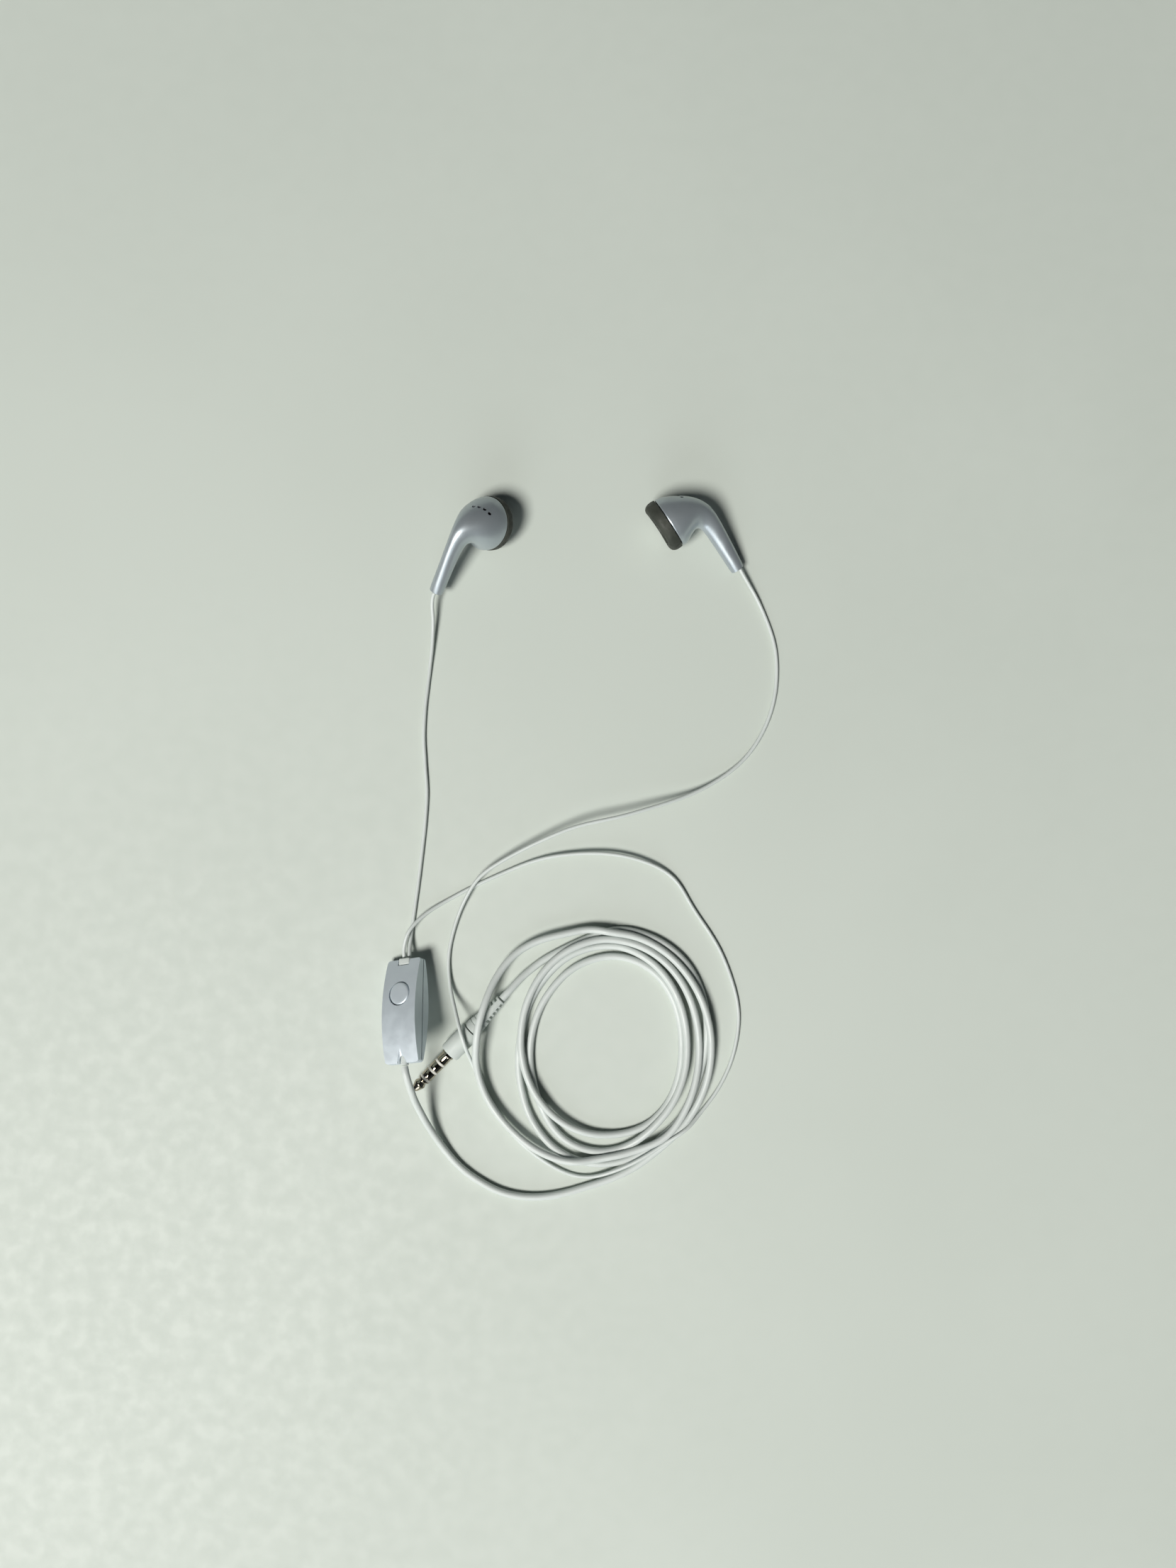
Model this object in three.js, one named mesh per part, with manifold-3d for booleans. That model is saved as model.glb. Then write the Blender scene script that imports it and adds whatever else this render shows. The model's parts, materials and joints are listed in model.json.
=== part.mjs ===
// Wired earphones: two open earbuds, an in-line remote, a four-pole 3.5 mm plug and their cords.
// Everything lies on the plane z = 0, in millimetres, with +Z up.
//
// Each earbud is made in a frame of its own: z = 0 is the seam between the rear housing and the
// front frame, +Z points out of the grille, -Y runs down the stem and X goes across.

import * as THREE from 'three';
import { mergeVertices } from 'three/addons/utils/BufferGeometryUtils.js';
import Module from 'manifold-3d';

const wasm = await Module();
wasm.setup();

// ---------------------------------------------------------------- driving dimensions

const GAP = 0.3; // between separate pieces
const FINE_GAP = 0.08; // between the small turned pieces of the plug

// Earbud housing
const HOUSING_RADIUS = 7.6;
const HOUSING_WALL = 0.9;
const STEM_HALF_DEPTH = 2.05;
const STEM_HALF_WIDTH = 2.05;
const STEM_LENGTH = 22.6; // from the bud's axis to the stem's end
const STEM_END_WALL = 0.45;
const STEM_SETBACK = 9.5; // from the seam back to the middle of the stem's end
const VENT_RADIUS = 0.5;
const VENT_COUNT = 4;
const VENT_FIRST = { turn: 0.35, radius: 4.4, back: 6.8 }; // turn is about the bud's axis, from +Y
const VENT_STEP = { turn: -0.32, radius: 0.4, back: -0.57 };
const SHOULDER_SLOPE = 0.575; // angle by which the shoulder leans back
const STEM_CAP_DEPTH = 2.0;
const STEM_CORD_OFFSET = 0.65; // the cord is behind the stem's middle and the port in front of it

// Earbud front and driver
const RING_RADIUS = 7.65;
const RING_DEPTH = 3.65;
const RING_SEAT = 6.95; // inner radius of the ear ring
const SPIGOT_RADIUS = 6.2; // the front frame's fit in the housing
const GRILLE_ROWS = [[0, 1], [2.6, 8]]; // radius and number of holes
const GRILLE_HOLE_RADIUS = 0.6;
const VOICE_COIL_RADIUS = 3.25;
const VOICE_COIL_HEIGHT = 1.5;
const VOICE_COIL_WALL = 0.25;
const YOKE_RADIUS = 4.3;

// How each earbud lies: the ways its stem and its front point, and its seam's centre
const LEFT_BUD = { stem: [-0.425, -0.8, -0.425], front: [0.55, 0.145, -0.82], centre: [-22.0, 73.7, 6.75] };
const RIGHT_BUD = { stem: [0.555, -0.78, -0.29], front: [-0.808, -0.57, -0.13], centre: [30.4, 73.6, 7.9] };

// Remote
const REMOTE_LENGTH = 29.6;
const REMOTE_WIDTH = 11.2;
const TOP_RISE = 4.0; // seam to the top's crown
const TOP_END_RISE = 1.5; // seam to the top at either end
const BOTTOM_RISE = 3.0;
const BOTTOM_END_RISE = 0.75;
const COVER_WALL = 0.9;
const BUTTON_RADIUS = 3.2;
const BUTTON_FROM_TOP_END = 10.3;
const STALK_END = 1.45;
const FLANGE_LOW = 1.75;
const FLANGE_RADIUS = BUTTON_RADIUS + 0.45;
const CAVITY = { low: -10.2, high: 12.6 }; // the hollow's ends along the remote
const ANCHOR_RADIUS = 1.15;
const ANCHOR_LENGTH = 4.6;
const COLLAR_WIDTH = 3.7;
const COLLAR_DEPTH = 2.4;
const EXIT_REACH = 0.4; // how far a cord's anchor stands out of the remote's end
const CORNER_RADIUS = 0.9;
const MIC_PLACE = [0, -6.7, 0];
const MIC_PORT = { x: -2.3, z: 0.85, radius: 0.35 };
const REMOTE_CENTRE = [-45.0, -66.65, 8.1];
const REMOTE_TURN = { roll: -0.441, pitch: -0.366, yaw: 0.032 }; // on one edge, bud-cord end down

// Plug
const PIN_RADIUS = 1.75;
const PIN_LENGTH = 14.0;
const INSULATOR_CENTRES = [4.9, 8.0, 11.1]; // from the tip
const INSULATOR_WIDTH = 0.66;
const COLLAR_RADIUS = 1.97;
const COLLAR_LENGTH = 1.0;
const MOULDING_RADIUS = 3.1;
const MOULDING_LENGTH = 9.0;
const RELIEF_LENGTH = 12.2;
const RELIEF_START_RADIUS = 2.75;
const RELIEF_END_RADIUS = 1.45;
const RELIEF_RIBS = 7;
const RELIEF_PLAIN = 2.0; // before the first rib
const RELIEF_GROOVE = 0.55; // depth between the ribs
const CORE_RADIUS = 0.7;
const PLUG_TIP = [-43.5, -90.5, MOULDING_RADIUS];
const PLUG_DIRECTION = new THREE.Vector3(0.695, 0.719, 0).normalize(); // from the tip to the cord

// Cords
const THIN_CORD = 1.1; // diameter of a bud cord
const MAIN_CORD = 2.1; // diameter of the main cord
const CORD_SIDES = 8;
const OVER_PLUG = { start: 258, end: 290 }; // distances along the right cord

// The wound part of the main cord is an oval ring, longer than it is wide.
const COIL_CENTRE = [14.6, -77.4, 0];
const COIL_INNER = 21.6;
const COIL_OUTER = 28.2;
const COIL_STRETCH = 1.14;
const COIL_LOW = 0.1;
const COIL_HIGH = 4.4;
const COIL_EDGE = 0.9;

// ---------------------------------------------------------------- materials

function plastic(colour, roughness) {
  return new THREE.MeshStandardMaterial({ color: colour, roughness, metalness: 0 });
}

function metal(colour, roughness) {
  return new THREE.MeshStandardMaterial({ color: colour, roughness, metalness: 1 });
}

const LOOK = {
  housing: () => plastic(0xdde4ee, 0.22),
  cover: () => plastic(0xdce4ec, 0.38),
  lip: () => plastic(0xc9cec8, 0.4),
  rubber: () => plastic(0x3a3d38, 0.75),
  mesh: () => plastic(0x1c1d1e, 0.95),
  film: () => plastic(0xb9a887, 0.25),
  copper: () => metal(0xb3683a, 0.35),
  magnet: () => metal(0xb8bcc0, 0.25),
  steel: () => metal(0x9a9da0, 0.35),
  frame: () => plastic(0x26282a, 0.5),
  board: () => plastic(0x1f5a3a, 0.45),
  felt: () => plastic(0x2a2a2c, 0.95),
  cord: () => plastic(0xe2e8e6, 0.42),
  moulding: () => plastic(0xd0d6d2, 0.6),
  contact: () => metal(0xcdbf9d, 0.12),
  insulator: () => plastic(0xcfcdc2, 0.5),
};

// ---------------------------------------------------------------- geometry helpers

/** A closed ring-shaped or solid body turned about the Z axis from [radius, z] points, anticlockwise. */
function turned(profile, segments = 24) {
  const points = profile.map(([radius, z]) => new THREE.Vector2(radius, z));
  return new THREE.LatheGeometry(points, segments).rotateX(Math.PI / 2);
}

/** A turned ring with a rectangular section. */
function washer(inner, outer, low, high, segments = 24) {
  return turned([[inner, low], [outer, low], [outer, high], [inner, high], [inner, low]], segments);
}

/** A turned disc. */
function disc(radius, low, high, segments = 24) {
  return turned([[0, low], [radius, low], [radius, high], [0, high]], segments);
}

/** The quads between the points of two equal rings. */
function bridge(index, from, to, count) {
  for (let i = 0; i < count; i += 1) {
    const next = (i + 1) % count;
    index.push(from + i, from + next, to + next);
    index.push(from + i, to + next, to + i);
  }
}

/** A body through rings of points. It closes on its first ring if hollow, and has fans at its ends if not. */
function loft(rings, hollow) {
  const count = rings[0].length;
  const positions = rings.flat().flatMap((point) => point.toArray());
  const index = [];
  const bridges = hollow ? rings.length : rings.length - 1;
  for (let ring = 0; ring < bridges; ring += 1) {
    bridge(index, ring * count, ((ring + 1) % rings.length) * count, count);
  }
  if (!hollow) {
    const last = (rings.length - 1) * count;
    for (let i = 1; i < count - 1; i += 1) {
      index.push(0, i + 1, i);
      index.push(last, last + i, last + i + 1);
    }
  }
  const geometry = new THREE.BufferGeometry();
  geometry.setAttribute('position', new THREE.Float32BufferAttribute(positions, 3));
  geometry.setIndex(index);
  return geometry;
}

/** A manifold solid made from a closed geometry. */
function solidOf(geometry) {
  const bare = geometry.clone();
  bare.deleteAttribute('normal');
  bare.deleteAttribute('uv');
  const merged = mergeVertices(bare);
  const source = merged.index.array;
  const triVerts = [];
  for (let i = 0; i < source.length; i += 3) {
    const [a, b, c] = source.slice(i, i + 3);
    if (a !== b && b !== c && c !== a) {
      triVerts.push(a, b, c);
    }
  }
  return new wasm.Manifold(new wasm.Mesh({
    numProp: 3,
    vertProperties: merged.attributes.position.array,
    triVerts: new Uint32Array(triVerts),
  }));
}

/** The geometry of a manifold solid. */
function geometryOf(solid) {
  const mesh = solid.getMesh();
  const geometry = new THREE.BufferGeometry();
  geometry.setAttribute('position', new THREE.Float32BufferAttribute(mesh.vertProperties, 3));
  geometry.setIndex([...mesh.triVerts]);
  return geometry;
}

/** A geometry with other geometries cut out of it. */
function cut(geometry, cutters) {
  return geometryOf(cutters.reduce((solid, cutter) => solid.subtract(solidOf(cutter)), solidOf(geometry)));
}

/** A named mesh with flat shading. */
function piece(name, geometry, material) {
  const mesh = new THREE.Mesh(geometry, material);
  mesh.name = name;
  return mesh;
}

/** A group of meshes. */
function groupOf(...members) {
  const group = new THREE.Group();
  group.add(...members);
  return group;
}

/** The smooth curve through a route's [x, y, z] points. */
function smoothCurve(route) {
  return new THREE.CatmullRomCurve3(route.map((point) => new THREE.Vector3(...point)), false, 'centripetal');
}

/** The stretch of a curve between two distances along it, in millimetres. */
class Stretch extends THREE.Curve {
  constructor(whole, start, end) {
    super();
    this.whole = whole;
    this.start = start / whole.getLength();
    this.end = Math.min(end / whole.getLength(), 1);
  }

  getPoint(t, target) {
    return this.whole.getPointAt(this.start + (this.end - this.start) * t, target);
  }
}

/** A round tube with flat ends along a curve. */
function cordTube(path, diameter, steps) {
  const section = new THREE.Shape();
  for (let i = 0; i < CORD_SIDES; i += 1) {
    const angle = (i / CORD_SIDES) * 2 * Math.PI;
    const corner = [(diameter / 2) * Math.cos(angle), (diameter / 2) * Math.sin(angle)];
    if (i === 0) {
      section.moveTo(...corner);
    } else {
      section.lineTo(...corner);
    }
  }
  return new THREE.ExtrudeGeometry(section, { steps, extrudePath: path });
}

// ---------------------------------------------------------------- earbud housing

// The housing's outline in the plane of the stem. Each station runs from the outer side to the stem's
// side: [back, down] for both, measured from the seam's centre, and half the width across.
const HOUSING_STATIONS = [
  { outer: [0, -HOUSING_RADIUS], inner: [0, HOUSING_RADIUS], half: HOUSING_RADIUS },
  { outer: [2.4, -6.95], inner: [1.0, 7.7], half: 7.35 },
  { outer: [4.8, -5.7], inner: [2.4, 7.1], half: 6.8 },
  { outer: [7.3, -4.1], inner: [3.5, 6.55], half: 6.0 },
  { outer: [9.4, -2.3], inner: [4.4, 6.15], half: 5.0 },
  { outer: [11.1, -0.1], inner: [5.3, 5.9], half: 3.9 },
  { outer: [12.2, 2.4], inner: [6.1, 6.1], half: 3.0 },
  { outer: [12.6, 5.1], inner: [6.7, 6.9], half: 2.45 },
  { outer: [12.6, 7.8], inner: [7.0, 8.4], half: 2.2 },
  { outer: [12.4, 11.5], inner: [7.2, 11.5], half: STEM_HALF_WIDTH },
  {
    outer: [STEM_SETBACK + STEM_HALF_DEPTH, STEM_LENGTH],
    inner: [STEM_SETBACK - STEM_HALF_DEPTH, STEM_LENGTH],
    half: STEM_HALF_WIDTH,
    wall: STEM_END_WALL,
  },
];
const HOUSING_SIDES = 20;

/** The points of one station's oval, drawn in by a wall's thickness. */
function housingRing({ outer, inner, half }, wall) {
  const back = (outer[0] + inner[0]) / 2;
  const down = (outer[1] + inner[1]) / 2;
  const halfLength = Math.hypot(outer[0] - inner[0], outer[1] - inner[1]) / 2;
  const shrink = (halfLength - wall) / halfLength;
  const alongBack = ((outer[0] - inner[0]) / 2) * shrink;
  const alongDown = ((outer[1] - inner[1]) / 2) * shrink;
  const points = [];
  for (let i = 0; i < HOUSING_SIDES; i += 1) {
    const angle = (i / HOUSING_SIDES) * 2 * Math.PI;
    points.push(new THREE.Vector3(
      (half - wall) * Math.sin(angle),
      -(down + alongDown * Math.cos(angle)),
      -(back + alongBack * Math.cos(angle)),
    ));
  }
  return points;
}

/** The rear housing: one shell that tapers from the round mouth into the oval stem, with a row of vents. */
function rearHousing() {
  const outside = HOUSING_STATIONS.map((station) => housingRing(station, 0));
  const inside = HOUSING_STATIONS.map((station) => housingRing(station, station.wall ?? HOUSING_WALL));
  const shell = loft([...outside, ...inside.reverse()], true);
  const drills = [];
  for (let i = 0; i < VENT_COUNT; i += 1) {
    drills.push(ventDrill(i));
  }
  return cut(shell, drills);
}

/** The drill for one vent, square to the housing's shoulder. */
function ventDrill(number) {
  const drill = new THREE.CylinderGeometry(VENT_RADIUS, VENT_RADIUS, 5, 8);
  drill.rotateX(-SHOULDER_SLOPE);
  const radius = VENT_FIRST.radius + number * VENT_STEP.radius;
  const back = VENT_FIRST.back + number * VENT_STEP.back;
  drill.translate(0, radius, -back);
  drill.rotateZ(-(VENT_FIRST.turn + number * VENT_STEP.turn));
  return drill;
}

/** The oval plug in the stem's end, which holds the cord and has an open port in front of it. */
function stemCap() {
  const outline = new THREE.Shape();
  const rim = STEM_END_WALL + GAP;
  outline.absellipse(0, 0, STEM_HALF_WIDTH - rim, STEM_HALF_DEPTH - rim, 0, 2 * Math.PI, false, 0);
  const port = new THREE.Path();
  port.absellipse(0, -STEM_CORD_OFFSET, 0.75, 0.35, 0, 2 * Math.PI, true, 0);
  outline.holes.push(port);
  const cap = new THREE.ExtrudeGeometry(outline, {
    depth: STEM_CAP_DEPTH,
    bevelEnabled: false,
    curveSegments: 5,
  });
  cap.rotateX(-Math.PI / 2);
  return cap.translate(0, -STEM_LENGTH + 0.05, -STEM_SETBACK);
}

// ---------------------------------------------------------------- earbud front and driver

/** The soft ring round the front edge. */
function earRing() {
  return turned([
    [RING_SEAT, GAP],
    [RING_RADIUS, GAP],
    [RING_RADIUS + 0.05, 1.6],
    [RING_RADIUS - 0.1, 2.6],
    [6.9, 3.35],
    [6.0, RING_DEPTH],
    [5.2, 3.35],
    [5.2, 2.95],
    [RING_SEAT, 2.95],
    [RING_SEAT, GAP],
  ], 32);
}

/** The front frame: a spigot in the housing's mouth and a perforated, slightly domed front. */
function frontFrame() {
  const seat = RING_SEAT - GAP;
  const frame = turned([
    [6.0, -0.9],
    [SPIGOT_RADIUS, -0.9],
    [SPIGOT_RADIUS, GAP],
    [seat, GAP],
    [seat, 2.4],
    [5.4, 2.65],
    [0, 2.75],
    [0, 2.15],
    [5.4, 2.05],
    [6.0, 1.8],
    [6.0, -0.9],
  ]);
  const drills = [];
  for (const [radius, holes] of GRILLE_ROWS) {
    for (let i = 0; i < holes; i += 1) {
      const angle = (i / holes) * 2 * Math.PI;
      const drill = new THREE.CylinderGeometry(GRILLE_HOLE_RADIUS, GRILLE_HOLE_RADIUS, 3, 6);
      drill.rotateX(Math.PI / 2);
      drill.translate(radius * Math.cos(angle), radius * Math.sin(angle), 2.4);
      drills.push(drill);
    }
  }
  return cut(frame, drills);
}

/** The thin cloth behind the grille. */
function acousticMesh() {
  return disc(5.4, 1.45, 1.7);
}

/** The domed film with its rolled surround. */
function diaphragm() {
  return turned([
    [0, 0.9],
    [2.0, 0.65],
    [3.1, 0.3],
    [4.3, 0.62],
    [5.7, 0.3],
    [5.7, 0.5],
    [4.3, 0.84],
    [3.1, 0.52],
    [2.0, 0.87],
    [0, 1.12],
  ]);
}

/** The coil that hangs from the film into the magnet's gap. */
function voiceCoil() {
  const top = 0.1;
  return washer(VOICE_COIL_RADIUS - VOICE_COIL_WALL, VOICE_COIL_RADIUS, top - VOICE_COIL_HEIGHT, top);
}

/** The driver's basket. */
function basket() {
  return turned([
    [4.6, -1.4],
    [5.75, -1.4],
    [5.75, 0.0],
    [5.4, 0.0],
    [5.4, -0.9],
    [4.6, -0.9],
    [4.6, -1.4],
  ]);
}

/** The steel plate on the magnet's front. */
function polePlate() {
  return disc(2.65, -1.0, -0.6, 20);
}

/** The disc magnet. */
function magnet() {
  return disc(2.65, -2.7, -1.3, 20);
}

/** The steel cup round the magnet, with a vent through its base. */
function yoke() {
  return turned([
    [0.7, -3.7],
    [YOKE_RADIUS, -3.7],
    [YOKE_RADIUS, -0.9],
    [3.6, -0.9],
    [3.6, -3.0],
    [0.7, -3.0],
    [0.7, -3.7],
  ], 20);
}

/** The terminal board that joins the coil's wires to the cord. */
function terminalBoard() {
  return washer(0.7, 2.4, -4.6, -4.0, 16);
}

/** The damping felt behind the vents. */
function ventFelt() {
  const felt = new THREE.BoxGeometry(4.6, 0.3, 1.6);
  felt.rotateX(-SHOULDER_SLOPE);
  return felt.translate(-0.8, 3.15, -4.9);
}

/** One whole earbud in its own frame. */
function earbud(side) {
  return groupOf(
    piece(`${side}_rear_housing`, rearHousing(), LOOK.housing()),
    piece(`${side}_stem_cap`, stemCap(), LOOK.lip()),
    piece(`${side}_front_frame`, frontFrame(), LOOK.lip()),
    piece(`${side}_ear_ring`, earRing(), LOOK.rubber()),
    piece(`${side}_acoustic_mesh`, acousticMesh(), LOOK.mesh()),
    piece(`${side}_diaphragm`, diaphragm(), LOOK.film()),
    piece(`${side}_voice_coil`, voiceCoil(), LOOK.copper()),
    piece(`${side}_basket`, basket(), LOOK.frame()),
    piece(`${side}_pole_plate`, polePlate(), LOOK.steel()),
    piece(`${side}_magnet`, magnet(), LOOK.magnet()),
    piece(`${side}_yoke`, yoke(), LOOK.steel()),
    piece(`${side}_terminal_board`, terminalBoard(), LOOK.board()),
    piece(`${side}_vent_felt`, ventFelt(), LOOK.felt()),
  );
}

/** Turns a bud so that its stem and its front point the given ways, and moves its seam's centre. */
function layDown(bud, { stem, front, centre }) {
  const down = new THREE.Vector3(...stem).normalize();
  const ahead = new THREE.Vector3(...front);
  ahead.addScaledVector(down, -ahead.dot(down)).normalize();
  const across = new THREE.Vector3().crossVectors(ahead, down);
  const basis = new THREE.Matrix4().makeBasis(across, down.clone().negate(), ahead);
  bud.quaternion.setFromRotationMatrix(basis);
  bud.position.set(...centre);
  return bud;
}

// ---------------------------------------------------------------- remote

// The remote is made in a frame of its own: Y runs along it with the bud cords at +Y, X goes across,
// and z = 0 is the seam between its covers.

const SIDEWAYS = new THREE.Matrix4().set(0, 0, 1, 0, 1, 0, 0, 0, 0, 1, 0, 0, 0, 0, 0, 1);
const HALF_LENGTH = REMOTE_LENGTH / 2;
const CROWN_STEPS = 10;

/** Height of a crowned surface at a place along the remote. */
function crown(y, endRise, rise) {
  return rise - (rise - endRise) * (y / HALF_LENGTH) ** 2;
}

/** A body across the remote between two ends, from a flat level to a crowned one. */
function crownedBody(low, high, width, level, endRise, rise, inset) {
  const outline = new THREE.Shape();
  outline.moveTo(low, level);
  outline.lineTo(high, level);
  for (let i = 0; i <= CROWN_STEPS; i += 1) {
    const y = high + ((low - high) * i) / CROWN_STEPS;
    outline.lineTo(y, crown(y, endRise, rise) - inset);
  }
  const body = new THREE.ExtrudeGeometry(outline, { depth: width, bevelEnabled: false });
  return body.applyMatrix4(SIDEWAYS).translate(-width / 2, 0, 0);
}

/** The remote's outline seen from above, with rounded corners, as a tall prism. */
function cornerPrism() {
  const radius = CORNER_RADIUS;
  const halfWidth = REMOTE_WIDTH / 2;
  const x = halfWidth - radius;
  const y = HALF_LENGTH - radius;
  const outline = new THREE.Shape();
  outline.absarc(x, y, radius, 0, Math.PI / 2, false);
  outline.absarc(-x, y, radius, Math.PI / 2, Math.PI, false);
  outline.absarc(-x, -y, radius, Math.PI, 1.5 * Math.PI, false);
  outline.absarc(x, -y, radius, 1.5 * Math.PI, 2 * Math.PI, false);
  const prism = new THREE.ExtrudeGeometry(outline, { depth: 16, bevelEnabled: false, curveSegments: 3 });
  return prism.translate(0, 0, -8);
}

/** A box between two corners. */
function block(low, high) {
  const size = high.map((value, axis) => value - low[axis]);
  const middle = high.map((value, axis) => (value + low[axis]) / 2);
  return new THREE.BoxGeometry(...size).translate(...middle);
}

/** The cutters that both covers share: the main cord's tunnel and the bud cords' notch. */
function exitCutters() {
  const tunnel = new THREE.CylinderGeometry(ANCHOR_RADIUS + GAP, ANCHOR_RADIUS + GAP, 7, 12);
  tunnel.translate(0, -HALF_LENGTH + 2.5, 0.1);
  const halfNotch = COLLAR_WIDTH / 2 + GAP;
  const notch = block([-halfNotch, HALF_LENGTH - COLLAR_DEPTH - GAP, -1.3], [halfNotch, HALF_LENGTH + 1, 4]);
  return [tunnel, notch];
}

/** One cover: a crowned tray with rounded corners. */
function cover(endRise, rise, cutters) {
  const outside = crownedBody(-HALF_LENGTH, HALF_LENGTH, REMOTE_WIDTH, GAP / 2, endRise, rise, 0);
  const hollowWidth = REMOTE_WIDTH - 2 * COVER_WALL;
  const hollow = crownedBody(CAVITY.low, CAVITY.high, hollowWidth, -1, endRise, rise, COVER_WALL);
  const tray = solidOf(outside).intersect(solidOf(cornerPrism())).subtract(solidOf(hollow));
  return cutters.reduce((solid, cutter) => solid.subtract(solidOf(cutter)), tray);
}

/** The top cover, with the button's hole and the scoop over the main cord. */
function topCover() {
  const hole = new THREE.CylinderGeometry(BUTTON_RADIUS + GAP, BUTTON_RADIUS + GAP, 10, 24);
  hole.rotateX(Math.PI / 2);
  hole.translate(0, HALF_LENGTH - BUTTON_FROM_TOP_END, 2);
  const scoop = new THREE.ConeGeometry(1.8, 5, 12);
  scoop.scale(1, 1, 0.7);
  scoop.rotateX(0.29);
  scoop.translate(0, -HALF_LENGTH + 1.9, TOP_END_RISE + 0.65);
  const port = new THREE.CylinderGeometry(MIC_PORT.radius, MIC_PORT.radius, 6, 8);
  port.translate(MIC_PORT.x, -HALF_LENGTH + 2.6, MIC_PORT.z);
  return geometryOf(cover(TOP_END_RISE, TOP_RISE, [...exitCutters(), hole, scoop, port]));
}

/** The bottom cover, made the same way and turned over. */
function bottomCover() {
  const flip = new THREE.Matrix4().makeScale(-1, 1, -1);
  const cutters = exitCutters().map((cutter) => cutter.applyMatrix4(flip));
  return geometryOf(cover(BOTTOM_END_RISE, BOTTOM_RISE, cutters)).applyMatrix4(flip);
}

/** The round button, with the flange that holds it in and the stalk that works the switch. */
function button() {
  const top = crown(HALF_LENGTH - BUTTON_FROM_TOP_END, TOP_END_RISE, TOP_RISE) + 0.1;
  const profile = [
    [0, STALK_END],
    [0.9, STALK_END],
    [0.9, FLANGE_LOW],
    [FLANGE_RADIUS, FLANGE_LOW],
    [FLANGE_RADIUS, FLANGE_LOW + 0.3],
    [BUTTON_RADIUS, FLANGE_LOW + 0.3],
    [BUTTON_RADIUS, top - 0.15],
    [BUTTON_RADIUS - 0.3, top],
    [0, top + 0.05],
  ];
  return turned(profile).translate(0, HALF_LENGTH - BUTTON_FROM_TOP_END, 0);
}

/** The snap dome switch under the button. */
function domeSwitch() {
  const profile = [[0, 0], [2.2, 0], [2.2, 0.5], [1.7, 0.55], [1.0, 0.8], [0, 0.9]];
  return turned(profile, 16).translate(0, HALF_LENGTH - BUTTON_FROM_TOP_END, 0);
}

/** The circuit board. */
function circuitBoard() {
  return block([-4.1, -9.6, -0.9], [4.1, 9.6, -0.3]);
}

/** The microphone capsule, with its sound hole. */
function micCapsule() {
  const profile = [[0, 0], [2, 0], [2, 1.3], [0.4, 1.3], [0.4, 0.9], [0, 0.9]];
  return turned(profile, 16).translate(...MIC_PLACE);
}

/** The rubber gasket round the capsule. */
function micGasket() {
  return washer(2.3, 2.9, 0, 1.6, 16).translate(...MIC_PLACE);
}

/** The light collar that the two bud cords leave through. */
function budCordCollar() {
  const halfWidth = COLLAR_WIDTH / 2;
  return block([-halfWidth, HALF_LENGTH - COLLAR_DEPTH, -1.0], [halfWidth, HALF_LENGTH + EXIT_REACH, 1.95]);
}

/** The sleeve that holds the main cord in the remote's end. */
function mainCordAnchor() {
  const sleeve = new THREE.CylinderGeometry(ANCHOR_RADIUS, ANCHOR_RADIUS, ANCHOR_LENGTH + EXIT_REACH, 12);
  return sleeve.translate(0, -HALF_LENGTH + (ANCHOR_LENGTH - EXIT_REACH) / 2, 0.1);
}

/** The whole remote, held up at one end by the stiff main cord. */
function remote() {
  const group = groupOf(
    piece('remote_top_cover', topCover(), LOOK.cover()),
    piece('remote_bottom_cover', bottomCover(), LOOK.cover()),
    piece('remote_button', button(), LOOK.cover()),
    piece('remote_dome_switch', domeSwitch(), LOOK.steel()),
    piece('remote_circuit_board', circuitBoard(), LOOK.board()),
    piece('remote_mic_capsule', micCapsule(), LOOK.steel()),
    piece('remote_mic_gasket', micGasket(), LOOK.felt()),
    piece('remote_bud_cord_collar', budCordCollar(), LOOK.cord()),
    piece('remote_main_cord_anchor', mainCordAnchor(), LOOK.cord()),
  );
  group.rotation.set(REMOTE_TURN.pitch, REMOTE_TURN.roll, REMOTE_TURN.yaw, 'ZXY');
  group.position.set(...REMOTE_CENTRE);
  return group;
}

// ---------------------------------------------------------------- plug

// The plug is turned about its own Z axis, from its tip at z = 0.

const COLLAR_END = PIN_LENGTH + COLLAR_LENGTH;
const MOULDING_END = COLLAR_END + MOULDING_LENGTH;
const RELIEF_START = MOULDING_END + GAP;
const CONTACT_BORE = CORE_RADIUS + FINE_GAP;

/** Where the insulator after a contact starts, less the fine gap. */
function contactEnd(number) {
  return INSULATOR_CENTRES[number] - INSULATOR_WIDTH / 2 - FINE_GAP;
}

/** Where the contact after an insulator starts. */
function contactStart(number) {
  return INSULATOR_CENTRES[number] + INSULATOR_WIDTH / 2 + FINE_GAP;
}

/** The tip contact, with its nose and the groove that a socket's spring snaps into. */
function plugTip() {
  return turned([
    [0, 0],
    [0.75, 0.15],
    [1.15, 0.9],
    [1.7, 2.3],
    [1.72, 2.7],
    [1.3, 3.4],
    [1.3, 3.7],
    [PIN_RADIUS, 4.2],
    [PIN_RADIUS, contactEnd(0)],
    [0, contactEnd(0)],
  ], 20);
}

/** A ring contact between two insulators. */
function contactRing(number) {
  return washer(CONTACT_BORE, PIN_RADIUS, contactStart(number), contactEnd(number + 1), 20);
}

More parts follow.
